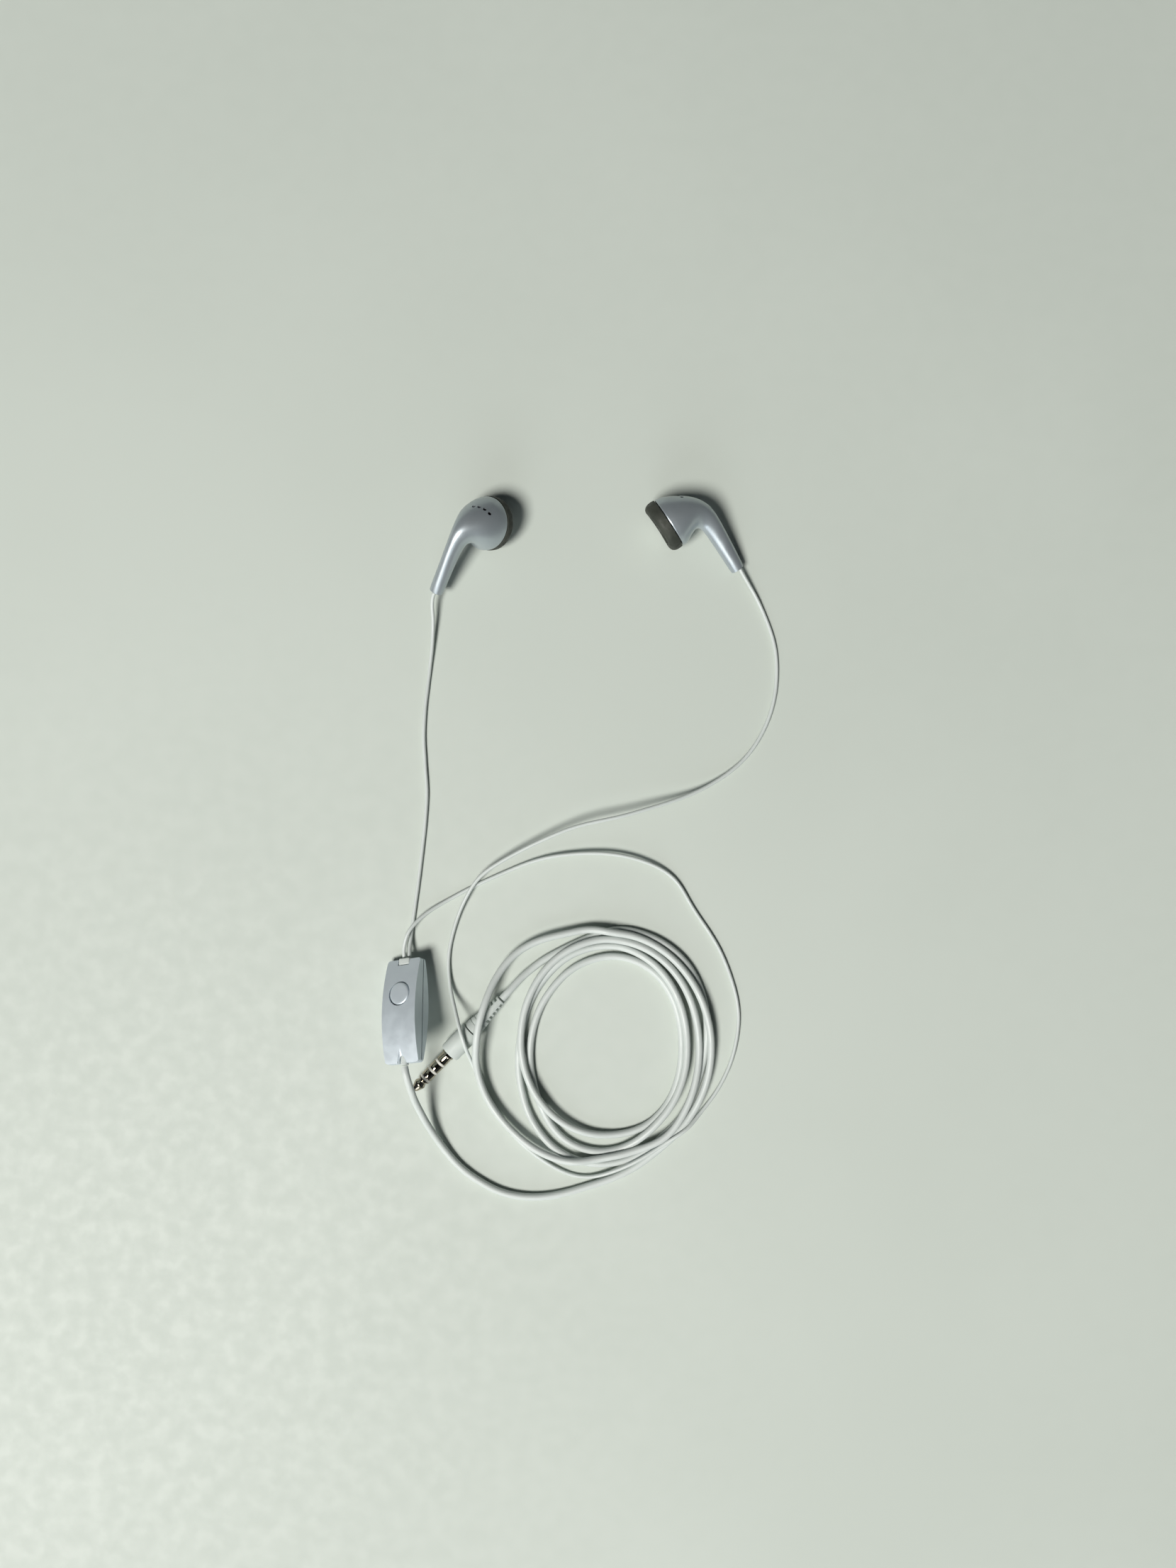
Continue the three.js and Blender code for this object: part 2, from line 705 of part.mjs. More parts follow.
/** The sleeve contact, with the collar against the moulding and a shank inside it. */
function plugSleeve() {
  const start = contactStart(2);
  const shank = 1.4;
  return turned([
    [CONTACT_BORE, start],
    [PIN_RADIUS, start],
    [PIN_RADIUS, PIN_LENGTH],
    [COLLAR_RADIUS, PIN_LENGTH],
    [COLLAR_RADIUS, COLLAR_END - FINE_GAP],
    [shank, COLLAR_END - FINE_GAP],
    [shank, COLLAR_END + 3],
    [CONTACT_BORE, COLLAR_END + 3],
    [CONTACT_BORE, start],
  ], 20);
}

/** The rod down the middle that carries the tip's signal. */
function plugCore() {
  return disc(CORE_RADIUS, contactEnd(0) + FINE_GAP, COLLAR_END + 5, 12);
}

/** The plain round grip. */
function plugMoulding() {
  const mouth = COLLAR_RADIUS + 0.1;
  return turned([
    [mouth, COLLAR_END],
    [MOULDING_RADIUS - 0.1, COLLAR_END],
    [MOULDING_RADIUS, COLLAR_END + 0.1],
    [MOULDING_RADIUS, MOULDING_END],
    [1.0, MOULDING_END],
    [1.0, COLLAR_END + 3.3],
    [1.7, COLLAR_END + 3.3],
    [1.7, COLLAR_END + 0.3],
    [mouth, COLLAR_END + 0.3],
    [mouth, COLLAR_END],
  ]);
}

/** The tapering relief: a plain collar, then ribs with grooves between them. */
function strainRelief() {
  const pitch = (RELIEF_LENGTH - RELIEF_PLAIN) / RELIEF_RIBS;
  const radiusAt = (along) => RELIEF_START_RADIUS
    + ((RELIEF_END_RADIUS - RELIEF_START_RADIUS) * along) / RELIEF_LENGTH;
  const profile = [[0, 0], [RELIEF_START_RADIUS, 0]];
  for (let rib = 0; rib < RELIEF_RIBS; rib += 1) {
    const start = RELIEF_PLAIN + rib * pitch;
    profile.push([radiusAt(start), start]);
    profile.push([radiusAt(start) - RELIEF_GROOVE, start]);
    profile.push([radiusAt(start + pitch / 2) - RELIEF_GROOVE, start + pitch / 2]);
    profile.push([radiusAt(start + pitch / 2), start + pitch / 2]);
  }
  profile.push([RELIEF_END_RADIUS, RELIEF_LENGTH], [0, RELIEF_LENGTH]);
  return turned(profile, 12).translate(0, 0, RELIEF_START);
}

/** The whole plug, laid on its side. */
function plug() {
  const group = groupOf(
    piece('plug_tip', plugTip(), LOOK.contact()),
    piece('plug_first_ring', contactRing(0), LOOK.contact()),
    piece('plug_second_ring', contactRing(1), LOOK.contact()),
    piece('plug_sleeve', plugSleeve(), LOOK.contact()),
    piece('plug_core', plugCore(), LOOK.steel()),
    piece('plug_moulding', plugMoulding(), LOOK.moulding()),
    piece('plug_strain_relief', strainRelief(), LOOK.moulding()),
  );
  INSULATOR_CENTRES.forEach((centre, number) => {
    const half = INSULATOR_WIDTH / 2;
    const ring = washer(CONTACT_BORE, PIN_RADIUS - 0.02, centre - half, centre + half, 20);
    group.add(piece(`plug_insulator_${number + 1}`, ring, LOOK.insulator()));
  });
  group.quaternion.setFromUnitVectors(new THREE.Vector3(0, 0, 1), PLUG_DIRECTION);
  group.position.set(...PLUG_TIP);
  return group;
}

// ---------------------------------------------------------------- cords

// Each route is a list of [x, y, z] points along the cord's centre line, chosen by hand.

// From the remote's collar to the left bud.
const LEFT_ROUTE = [
  [-44.8, -51.8, 3.2], [-44.9, -50.0, 2.5], [-44.7, -46.5, 1.2], [-44.2, -42.0, 0.7], [-43.6, -37.5, 0.6],
  [-42.7, -31.0, 0.6], [-41.6, -22.0, 0.6], [-40.6, -12.7, 0.6], [-40.1, -4.0, 0.6], [-40.6, 4.5, 0.6],
  [-41.0, 12.5, 0.6], [-40.6, 20.5, 0.6], [-39.8, 27.5, 0.6], [-39.0, 34.0, 0.8], [-38.3, 40.5, 1.5],
  [-38.0, 46.0, 2.6], [-38.1, 50.5, 3.9], [-37.8, 52.7, 4.8], [-37.3, 53.8, 5.3],
];

// From the remote's collar to the right bud: over the left cord, round the coil, over the plug, across
// its own start and up to the bud.
const RIGHT_ROUTE = [
  [-46.4, -52.1, 2.6], [-46.5, -49.4, 2.6], [-45.1, -44.6, 3.0], [-41.2, -40.2, 2.1], [-34.7, -36.0, 0.85],
  [-20.7, -28.9, 0.7], [-3.7, -22.8, 1.6], [17.0, -22.4, 2.2], [31.4, -28.3, 1.0], [38.0, -38.0, 0.65],
  [46.4, -51.5, 0.6], [51.2, -67.6, 0.6], [50.1, -79.4, 0.6], [47.0, -87.8, 0.6], [41.8, -95.8, 0.9],
  [34.6, -102.6, 2.4], [25.0, -109.2, 3.1], [16.0, -114.0, 2.3], [6.5, -116.7, 0.75], [-2.0, -114.2, 0.6],
  [-14.8, -104.4, 0.6], [-23.5, -90.6, 0.9], [-26.5, -83.2, 2.2], [-27.7, -79.2, 5.6], [-28.7, -75.4, 7.35],
  [-29.9, -71.8, 6.7], [-31.3, -67.3, 4.2], [-33.0, -61.5, 1.6], [-33.7, -52.0, 0.7], [-30.9, -40.2, 1.3],
  [-27.9, -33.8, 2.5], [-23.8, -28.0, 3.3], [0.6, -14.9, 5.9], [19.9, -10.0, 5.8], [41.0, -2.7, 2.4],
  [53.9, 6.9, 0.8], [61.2, 21.0, 0.6], [62.2, 37.2, 0.6], [58.0, 50.0, 0.8], [51.5, 61.3, 2.5],
];

// The main cord from the remote's raised end, over the plug's tip and along to the coil.
const MAIN_START = [
  [-44.6, -81.2, 13.7], [-44.2, -83.0, 14.1], [-43.6, -85.6, 13.6], [-43.0, -88.6, 11.9], [-42.4, -91.8, 9.6],
  [-41.5, -95.0, 7.1], [-40.2, -98.8, 4.7], [-38.5, -102.5, 2.9], [-34.6, -108.6, 1.5], [-30.3, -113.6, 1.1],
  [-24.9, -117.6, 1.05], [-18.0, -121.1, 1.05], [-9.5, -122.5, 1.05], [-1.4, -121.7, 1.05],
  [6.5, -119.5, 1.05], [14.8, -116.7, 1.05], [20.4, -114.0, 1.05], [24.3, -111.4, 1.05],
];

// The coil's outermost turn on the left, which passes over the plug's relief.
const OUTER_TURN = [
  [8.0, -43.9, 2.5], [1.1, -45.1, 2.6], [-7.2, -47.2, 2.6], [-14.2, -51.2, 3.0], [-19.4, -57.6, 4.6],
  [-22.4, -64.4, 6.7], [-24.1, -70.0, 7.4], [-25.0, -75.6, 6.9], [-25.3, -82.0, 4.7], [-23.9, -89.0, 3.2],
  [-21.2, -94.8, 2.8], [-16.1, -101.4, 2.8], [-9.5, -107.1, 2.8], [-3.5, -110.2, 2.7], [3.5, -111.6, 2.5],
];

// The main cord's last stretch, from the coil to the plug's relief.
const PLUG_END = [
  [-5.6, -52.9, 1.05], [-9.0, -55.4, 1.3], [-12.4, -58.2, 2.0], [-15.8, -61.8, 2.9], [-17.9, -64.0, 3.1],
];

/** One ring round all the coil's turns. */
function mainCordCoil() {
  const ring = turned([
    [COIL_INNER + COIL_EDGE, COIL_LOW],
    [COIL_OUTER - COIL_EDGE, COIL_LOW],
    [COIL_OUTER, COIL_LOW + COIL_EDGE],
    [COIL_OUTER, COIL_HIGH - COIL_EDGE],
    [COIL_OUTER - COIL_EDGE, COIL_HIGH],
    [COIL_INNER + COIL_EDGE, COIL_HIGH],
    [COIL_INNER, COIL_HIGH - COIL_EDGE],
    [COIL_INNER, COIL_LOW + COIL_EDGE],
    [COIL_INNER + COIL_EDGE, COIL_LOW],
  ], 36);
  return ring.scale(1, COIL_STRETCH, 1).translate(...COIL_CENTRE);
}

// Every stretch of cord that isn't in the coil: the right cord is in three, with short steps over the plug.
const rightCurve = smoothCurve(RIGHT_ROUTE);
const CORDS = [
  { name: 'left_bud_cord', path: smoothCurve(LEFT_ROUTE), diameter: THIN_CORD, steps: 12 },
  {
    name: 'right_bud_cord_start',
    path: new Stretch(rightCurve, 0, OVER_PLUG.start - GAP / 2),
    diameter: THIN_CORD,
    steps: 30,
  },
  {
    name: 'right_bud_cord_over_plug',
    path: new Stretch(rightCurve, OVER_PLUG.start + GAP / 2, OVER_PLUG.end - GAP / 2),
    diameter: THIN_CORD,
    steps: 8,
  },
  {
    name: 'right_bud_cord_end',
    path: new Stretch(rightCurve, OVER_PLUG.end + GAP / 2, Infinity),
    diameter: THIN_CORD,
    steps: 20,
  },
  { name: 'main_cord_start', path: smoothCurve(MAIN_START), diameter: MAIN_CORD, steps: 11 },
  { name: 'main_cord_outer_turn', path: smoothCurve(OUTER_TURN), diameter: MAIN_CORD, steps: 12 },
  { name: 'main_cord_plug_end', path: smoothCurve(PLUG_END), diameter: MAIN_CORD, steps: 3 },
];

// ---------------------------------------------------------------- the whole set

const earphones = groupOf(
  layDown(earbud('left'), LEFT_BUD),
  layDown(earbud('right'), RIGHT_BUD),
  remote(),
  plug(),
  ...CORDS.map(({ name, path, diameter, steps }) => piece(name, cordTube(path, diameter, steps), LOOK.cord())),
  piece('main_cord_coil', mainCordCoil(), LOOK.cord()),
);

export default earphones;
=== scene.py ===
import json
import math

import bmesh
import bpy
import numpy as np
from mathutils import Matrix, Vector


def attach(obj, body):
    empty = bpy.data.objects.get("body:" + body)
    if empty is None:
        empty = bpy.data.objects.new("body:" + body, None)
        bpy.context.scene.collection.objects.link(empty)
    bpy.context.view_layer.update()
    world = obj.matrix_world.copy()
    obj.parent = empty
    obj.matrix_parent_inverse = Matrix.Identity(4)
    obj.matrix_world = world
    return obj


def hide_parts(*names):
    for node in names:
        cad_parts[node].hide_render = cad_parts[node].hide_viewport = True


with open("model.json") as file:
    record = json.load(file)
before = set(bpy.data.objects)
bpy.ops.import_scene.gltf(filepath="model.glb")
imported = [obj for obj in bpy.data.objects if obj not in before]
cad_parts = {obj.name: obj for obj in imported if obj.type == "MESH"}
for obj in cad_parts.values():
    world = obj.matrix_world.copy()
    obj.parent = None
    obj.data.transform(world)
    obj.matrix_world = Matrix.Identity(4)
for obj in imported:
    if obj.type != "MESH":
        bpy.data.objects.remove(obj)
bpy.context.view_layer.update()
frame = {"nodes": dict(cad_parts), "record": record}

# Wired earphones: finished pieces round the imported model. Places are in metres. Each bud, the remote and
# the plug are shaped in a frame of their own in millimetres, and put in place by a matrix that scales.

MM = 0.001

# ---------------- camera

TABLE_CENTRE = (0.0071875, -0.0014583)
CAMERA_HEIGHT = 0.346
CAMERA_LENS = 27.03
CAMERA_SENSOR = 36.0


def make_camera():
    """A camera that looks straight down on the table."""
    data = bpy.data.cameras.new("camera")
    data.lens = CAMERA_LENS
    data.sensor_width = CAMERA_SENSOR
    data.sensor_fit = "AUTO"
    data.clip_start = 0.01
    camera = bpy.data.objects.new("camera", data)
    camera.location = (*TABLE_CENTRE, CAMERA_HEIGHT)
    bpy.context.scene.collection.objects.link(camera)
    bpy.context.scene.camera = camera


make_camera()

# ---------------- cord routes

THIN_CORD = 0.0011
MAIN_CORD = 0.0021
CORD_SPACING = 0.001  # between the points along a finished cord
CURVE_STEPS = 24  # to each point of a route, before the cord's points are spaced evenly
CLEARANCE = 0.00003  # left between two strands that lie on each other

# From the remote's collar to the left bud.
LEFT_ROUTE = [
    (-0.0448, -0.0518, 0.0032), (-0.0449, -0.05, 0.0025), (-0.0447, -0.0465, 0.0012),
    (-0.0442, -0.042, 0.0007), (-0.0436, -0.0375, 0.0006), (-0.0427, -0.031, 0.0006),
    (-0.0416, -0.022, 0.0006), (-0.0406, -0.0127, 0.0006), (-0.0401, -0.004, 0.0006),
    (-0.0406, 0.0045, 0.0006), (-0.041, 0.0125, 0.0006), (-0.0406, 0.0205, 0.0006),
    (-0.0398, 0.0275, 0.0006), (-0.039, 0.034, 0.0008), (-0.0383, 0.0405, 0.0015),
    (-0.038, 0.046, 0.0026), (-0.0381, 0.0505, 0.0039), (-0.0378, 0.0527, 0.0048),
    (-0.0373, 0.0538, 0.0053),
]
# From the remote's collar, round the coil, over the plug and its own start, to the right bud.
RIGHT_ROUTE = [
    (-0.0464, -0.0521, 0.0026), (-0.0465, -0.0494, 0.0026), (-0.0451, -0.0446, 0.003),
    (-0.0412, -0.0402, 0.0021), (-0.0347, -0.036, 0.00085), (-0.0207, -0.0289, 0.0007),
    (-0.0037, -0.0228, 0.0016), (0.017, -0.0224, 0.0022), (0.0314, -0.0283, 0.001),
    (0.038, -0.038, 0.00065), (0.0464, -0.0515, 0.0006), (0.0512, -0.0676, 0.0006),
    (0.0501, -0.0794, 0.0006), (0.047, -0.0878, 0.0006), (0.0418, -0.0958, 0.0009),
    (0.0346, -0.1026, 0.0024), (0.025, -0.1092, 0.0031), (0.016, -0.114, 0.0023),
    (0.0065, -0.1167, 0.00075), (-0.002, -0.1142, 0.0006), (-0.0148, -0.1044, 0.0006),
    (-0.0235, -0.0906, 0.0009), (-0.0265, -0.0832, 0.0022), (-0.0277, -0.0792, 0.0056),
    (-0.0287, -0.0754, 0.00735), (-0.0299, -0.0718, 0.0067), (-0.0313, -0.0673, 0.0042),
    (-0.033, -0.0615, 0.0016), (-0.0337, -0.052, 0.0007), (-0.0309, -0.0402, 0.0013),
    (-0.0279, -0.0338, 0.0025), (-0.0238, -0.028, 0.0033), (0.0006, -0.0149, 0.0059),
    (0.0199, -0.01, 0.0058), (0.041, -0.0027, 0.0024), (0.0539, 0.0069, 0.0008),
    (0.0612, 0.021, 0.0006), (0.0622, 0.0372, 0.0006), (0.058, 0.05, 0.0008), (0.0515, 0.0613, 0.0025),
]
# From the remote's raised end, over the plug's tip and along to the coil.
MAIN_START = [
    (-0.0446, -0.0812, 0.0137), (-0.0442, -0.083, 0.0141), (-0.0436, -0.0856, 0.0136),
    (-0.043, -0.0886, 0.0119), (-0.0424, -0.0918, 0.0096), (-0.0415, -0.095, 0.0071),
    (-0.0402, -0.0988, 0.0047), (-0.0385, -0.1025, 0.0029), (-0.0346, -0.1086, 0.0015),
    (-0.0303, -0.1136, 0.0011), (-0.0249, -0.1176, 0.00105), (-0.018, -0.1211, 0.00105),
    (-0.0095, -0.1225, 0.00105), (-0.0014, -0.1217, 0.00105), (0.0065, -0.1195, 0.00105),
    (0.0148, -0.1167, 0.00105), (0.0204, -0.114, 0.00105), (0.0243, -0.1114, 0.00105),
]
# The coil's outermost turn on the left, which passes over the plug's relief.
OUTER_TURN = [
    (0.008, -0.0439, 0.0025), (0.0011, -0.0451, 0.0026), (-0.0072, -0.0472, 0.0026),
    (-0.0142, -0.0512, 0.003), (-0.0194, -0.0576, 0.0046), (-0.0224, -0.0644, 0.0067),
    (-0.0241, -0.07, 0.0074), (-0.025, -0.0756, 0.0069), (-0.0253, -0.082, 0.0047),
    (-0.0239, -0.089, 0.0032), (-0.0212, -0.0948, 0.0028), (-0.0161, -0.1014, 0.0028),
    (-0.0095, -0.1071, 0.0028), (-0.0035, -0.1102, 0.0027), (0.0035, -0.1116, 0.0025),
]
# From the coil to the plug's relief.
PLUG_END = [
    (-0.0056, -0.0529, 0.00105), (-0.009, -0.0554, 0.0013), (-0.0124, -0.0582, 0.002),
    (-0.0158, -0.0618, 0.0029), (-0.0179, -0.064, 0.0031),
]

# The coil is wound anticlockwise about this centre and is longer than it is wide. Each row gives a
# direction in degrees, counted on through the turns, and the cord's distance from the centre and height
# there in millimetres.
COIL_CENTRE = (0.0146, -0.0774)
COIL_STRETCH = 1.14
COIL_STEPS = 3  # points to each row
OUTER_START = [(-60, 29.5, 1.1), (0, 28.5, 3), (30, 28, 3.1), (60, 28, 2.6), (90, 28.5, 2.9)]
WOUND_TURNS = [
    (-60, 28, 3.1), (0, 25, 2.5), (60, 26, 2.6), (120, 27.5, 2.8), (180, 27, 3.1), (210, 26, 3.1),
    (270, 23.5, 1.1), (300, 23, 1.1), (360, 20, 1.1), (420, 22, 1.1), (510, 23, 1.1),
    (570, 26, 1.1), (600, 28.5, 1.1), (630, 27.5, 1.3), (660, 24, 3), (720, 21.5, 2.6), (750, 22, 2.4),
    (810, 25, 1.1), (900, 27.5, 1.1), (960, 32, 1.1), (1020, 28.5, 1.1), (1060, 26.5, 1.1),
    (1120, 29.5, 1.1), (1170, 29, 1.1),
]


def smooth_rows(rows, steps):
    """Rows of numbers with a smooth (centripetal Catmull-Rom) curve's rows between them."""
    rows = np.array(rows, float)
    rows = np.vstack([2 * rows[0] - rows[1], rows, 2 * rows[-1] - rows[-2]])
    knots = np.concatenate([[0], np.cumsum(np.sqrt(np.linalg.norm(np.diff(rows, axis=0), axis=1)))])
    made = []
    for i in range(1, len(rows) - 2):
        t0, t1, t2, t3 = knots[i - 1:i + 3]
        p0, p1, p2, p3 = rows[i - 1:i + 3]
        for t in np.linspace(t1, t2, steps, endpoint=False):
            a1 = ((t1 - t) * p0 + (t - t0) * p1) / (t1 - t0)
            a2 = ((t2 - t) * p1 + (t - t1) * p2) / (t2 - t1)
            a3 = ((t3 - t) * p2 + (t - t2) * p3) / (t3 - t2)
            b1 = ((t2 - t) * a1 + (t - t0) * a2) / (t2 - t0)
            b2 = ((t3 - t) * a2 + (t - t1) * a3) / (t3 - t1)
            made.append(((t2 - t) * b1 + (t - t1) * b2) / (t2 - t1))
    made.append(rows[-2])
    return np.array(made)


def coil_points(turns):
    """Points along the coil's turns, with a smooth change from each row to the next."""
    points = []
    for direction, radius, height in smooth_rows(turns, COIL_STEPS):
        angle = math.radians(direction)
        x = COIL_CENTRE[0] + radius * MM * math.cos(angle)
        y = COIL_CENTRE[1] + COIL_STRETCH * radius * MM * math.sin(angle)
        points.append((x, y, max(height * MM, MAIN_CORD / 2)))
    return points


def cord_line(route):
    """Evenly spaced points along the smooth curve through a route."""
    curve = smooth_rows(route, CURVE_STEPS)
    along = np.concatenate([[0], np.cumsum(np.linalg.norm(np.diff(curve, axis=0), axis=1))])
    count = int(round(along[-1] / CORD_SPACING)) + 1
    places = np.linspace(0, along[-1], count)
    return np.stack([np.interp(places, along, curve[:, axis]) for axis in range(3)], axis=1)


SETTLE_ROUNDS = 260
NEIGHBOURS = 8  # points along the same cord that are always close
HELD_ENDS = 12  # points at each end that stay where they are
RETURN = 0.004  # how strongly a point is drawn back to its route
STIFFNESS = 0.25  # how strongly a cord smooths its own bends
SIDEWAYS = 0.5  # how strongly strands side by side move apart
FLATTENING = 0.9  # how much less strands side by side are lifted than crossing ones
TINY = 1e-9


def push_apart(line, order, others, distance, far):
    """The moves that part a cord's points from points of its own or of another cord.

    A point goes up where its order is positive, and down where it is negative."""
    gaps = line[:, None, :] - others[None, :, :]
    flat = np.hypot(gaps[..., 0], gaps[..., 1])
    reach = np.linalg.norm(gaps, axis=2)
    own, other = np.nonzero(far & (reach < distance))
    lack = distance - reach[own, other]
    beside = np.clip(flat[own, other] / distance, 0, 1)
    push = gaps[own, other]
    push[:, :2] *= (SIDEWAYS * beside * lack / np.maximum(flat[own, other], TINY))[:, None]
    push[:, 2] = np.sign(order[own, other]) * lack * np.sqrt(1 - FLATTENING * beside * beside)
    moves = np.zeros_like(line)
    counts = np.zeros(len(line))
    np.add.at(moves, own, push)
    np.add.at(counts, own, 1)
    return moves / np.maximum(counts, 1)[:, None], len(own)


def settle(line, diameter, others=None, distance=0.0):
    """A cord whose strands lie beside and on each other and on another cord, with none inside another.

    A strand that starts higher stays above. A cord lies on top of the other cord."""
    home = line.copy()
    count = len(line)
    places = np.arange(count)
    far = np.abs(places[:, None] - places[None, :]) > NEIGHBOURS
    order = home[:, None, 2] - home[None, :, 2] + TINY * (places[:, None] - places[None, :])
    free = np.ones((count, 1))
    free[:HELD_ENDS] = 0
    free[-HELD_ENDS:] = 0
    for turn in range(SETTLE_ROUNDS):
        moves, touching = push_apart(line, order, line, diameter + CLEARANCE, far)
        moves /= 2  # because the other strand moves as well
        if others is not None:
            above = np.ones((count, len(others)))
            extra, more = push_apart(line, above, others, distance + CLEARANCE, above > 0)
            moves += extra
            touching += more
        if not touching and turn > SETTLE_ROUNDS // 2:
            break
        line = line + moves * free
        bend = np.zeros_like(line)
        bend[1:-1] = (line[:-2] + line[2:]) / 2 - line[1:-1]
        stiff = np.zeros_like(line)
        stiff[2:-2] = bend[2:-2] - (bend[1:-3] + bend[3:-1]) / 2
        line = line + stiff * free * STIFFNESS + (home - line) * free * RETURN
        line[:, 2] = np.maximum(line[:, 2], diameter / 2)
    return line


# ---------------- mesh helpers


def mesh_object(name, build):
    """An object made from a bmesh, with the faces of a closed body pointing out."""
    bmesh.ops.recalc_face_normals(build, faces=build.faces)
    mesh = bpy.data.meshes.new(name)
    build.to_mesh(mesh)
    build.free()
    piece = bpy.data.objects.new(name, mesh)
    bpy.context.scene.collection.objects.link(piece)
    return piece


def loft(name, rings, hollow=False):
    """A body through rings of points. It closes on its first ring if hollow, or has flat ends if not."""
    build = bmesh.new()
    made = [[build.verts.new(point) for point in ring] for ring in rings]
    count = len(rings[0])
    pairs = list(zip(made, made[1:]))
    if hollow:
        pairs.append((made[-1], made[0]))
    for low, high in pairs:
        for i in range(count):
            following = (i + 1) % count
            build.faces.new((low[i], low[following], high[following], high[i]))
    if not hollow:
        build.faces.new(made[0])
        build.faces.new(made[-1])
    return mesh_object(name, build)


def turned(name, profile, segments=96):
    """A body turned about Z. Its profile of (radius, z) starts and ends on the axis, or closes on itself."""
    build = bmesh.new()
    closed = profile[0] == profile[-1]
    rows = []
    for radius, z in profile[:-1] if closed else profile:
        if radius == 0:
            rows.append([build.verts.new((0, 0, z))])
        else:
            angles = [2 * math.pi * i / segments for i in range(segments)]
            rows.append([build.verts.new((radius * math.cos(a), radius * math.sin(a), z)) for a in angles])
    if closed:
        rows.append(rows[0])
    for low, high in zip(rows, rows[1:]):
        for i in range(segments):
            following = (i + 1) % segments
            corners = [low[i % len(low)], low[following % len(low)]]
            corners += [high[following % len(high)], high[i % len(high)]]
            corners = list(dict.fromkeys(corners))
            if len(corners) > 2:
                build.faces.new(corners)
    return mesh_object(name, build)


def box_body(name, low, high):
    """A box between two corners."""
    build = bmesh.new()
    bmesh.ops.create_cube(build, size=1)
    for vertex in build.verts:
        vertex.co = Vector([lo + (part + 0.5) * (hi - lo) for lo, hi, part in zip(low, high, vertex.co)])
    return mesh_object(name, build)


def cylinder(radius, low, high, matrix, segments=48, top_radius=None):
    """A cutter: a cylinder along Z between two heights, moved by a matrix."""
    end = radius if top_radius is None else top_radius
    piece = turned("cutter", [(0, low), (radius, low), (end, high), (0, high)], segments)
    piece.data.transform(matrix)
    return piece


def apply_modifiers(piece):
    """Bakes a piece's modifiers into its mesh."""
    graph = bpy.context.evaluated_depsgraph_get()
    mesh = bpy.data.meshes.new_from_object(piece.evaluated_get(graph))
    piece.modifiers.clear()
    piece.data = mesh
    mesh.name = piece.name


def carve(piece, cutters, operation="DIFFERENCE"):
    """Cuts bodies out of a piece, or keeps what they share, and deletes them."""
    for cutter in cutters:
        modifier = piece.modifiers.new("carve", "BOOLEAN")
        modifier.operation = operation
        modifier.solver = "EXACT"
        modifier.object = cutter
    apply_modifiers(piece)
    for cutter in cutters:
        bpy.data.objects.remove(cutter)
    return piece


def even_shading(piece):
    """Shades a piece's large faces flat and keeps the bend in its rounded edges."""
    modifier = piece.modifiers.new("even_shading", "WEIGHTED_NORMAL")
    modifier.weight = 100
    modifier.keep_sharp = True
    apply_modifiers(piece)


def soften(piece, width, segments=3, angle=30):
    """Rounds a piece's sharp edges."""
    modifier = piece.modifiers.new("soften", "BEVEL")
    modifier.width = width
    modifier.segments = segments
    modifier.limit_method = "ANGLE"
    modifier.angle_limit = math.radians(angle)
    modifier.use_clamp_overlap = True
    apply_modifiers(piece)
    return piece


SHARP_ANGLE = 32


def put(piece, place, material, slot, *nodes, body="root", even=False):
    """Puts a finished piece in its place on its body, for the CAD nodes that it stands for.
"""
    piece.data.transform(place)
    piece.data.materials.clear()
    piece.data.materials.append(material)
    piece.data.shade_smooth()
    piece.data.set_sharp_from_angle(angle=math.radians(SHARP_ANGLE))
    if even:
        even_shading(piece)
    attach(piece, body)
    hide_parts(*nodes)
    return piece


def recolour(node, material):
    """Gives a CAD node that keeps its shape a better material."""
    mesh = frame["nodes"][node].data
    mesh.materials.clear()
    mesh.materials.append(material)


# ---------------- places worked out from the frame


def centroid(node):
    """The middle of a CAD node's volume."""
    mesh = frame["nodes"][node].data
    mesh.calc_loop_triangles()
    total = 0.0
    middle = Vector((0, 0, 0))
    for triangle in mesh.loop_triangles:
        a, b, c = (mesh.vertices[i].co for i in triangle.vertices)
        volume = a.dot(b.cross(c)) / 6
        total += volume
        middle += volume * (a + b + c) / 4
    return middle / total


def joint_axis(name):
    """The direction of a joint."""
    for joint in frame["record"]["behaviour"]["joints"]:
        if joint["name"] == name:
            return Vector(joint["axis"]).normalized()
    raise KeyError(name)


def place_matrix(across, along, ahead, origin):
    """The matrix that takes millimetres in a frame of three directions to metres on the table."""
    rotation = Matrix((across, along, ahead)).transposed().to_4x4()
    return Matrix.Translation(origin) @ rotation @ Matrix.Scale(MM, 4)


MAGNET_MIDDLE = -2.0  # of the magnet's thickness, from the seam
BOARD_MIDDLE = -0.6  # of the circuit board's thickness, from the remote's seam


def bud_place(side):
    """A bud's frame: z = 0 at the seam, +Z out of the grille and -Y down the stem."""
    ahead = joint_axis(side + "_cone_travel")
    seam = centroid(side + "_magnet") - MAGNET_MIDDLE * MM * ahead
    down = centroid(side + "_stem_cap") - seam
    down = (down - down.dot(ahead) * ahead).normalized()
    return place_matrix(ahead.cross(down), -down, ahead, seam)


def remote_place():
    """The remote's frame: y along it towards the bud cords, z = 0 at the seam between its covers."""
    up = -joint_axis("button_press")
    along = centroid("remote_bud_cord_collar") - centroid("remote_main_cord_anchor")
    along = (along - along.dot(up) * up).normalized()
    return place_matrix(along.cross(up), along, up, centroid("remote_circuit_board") - BOARD_MIDDLE * MM * up)


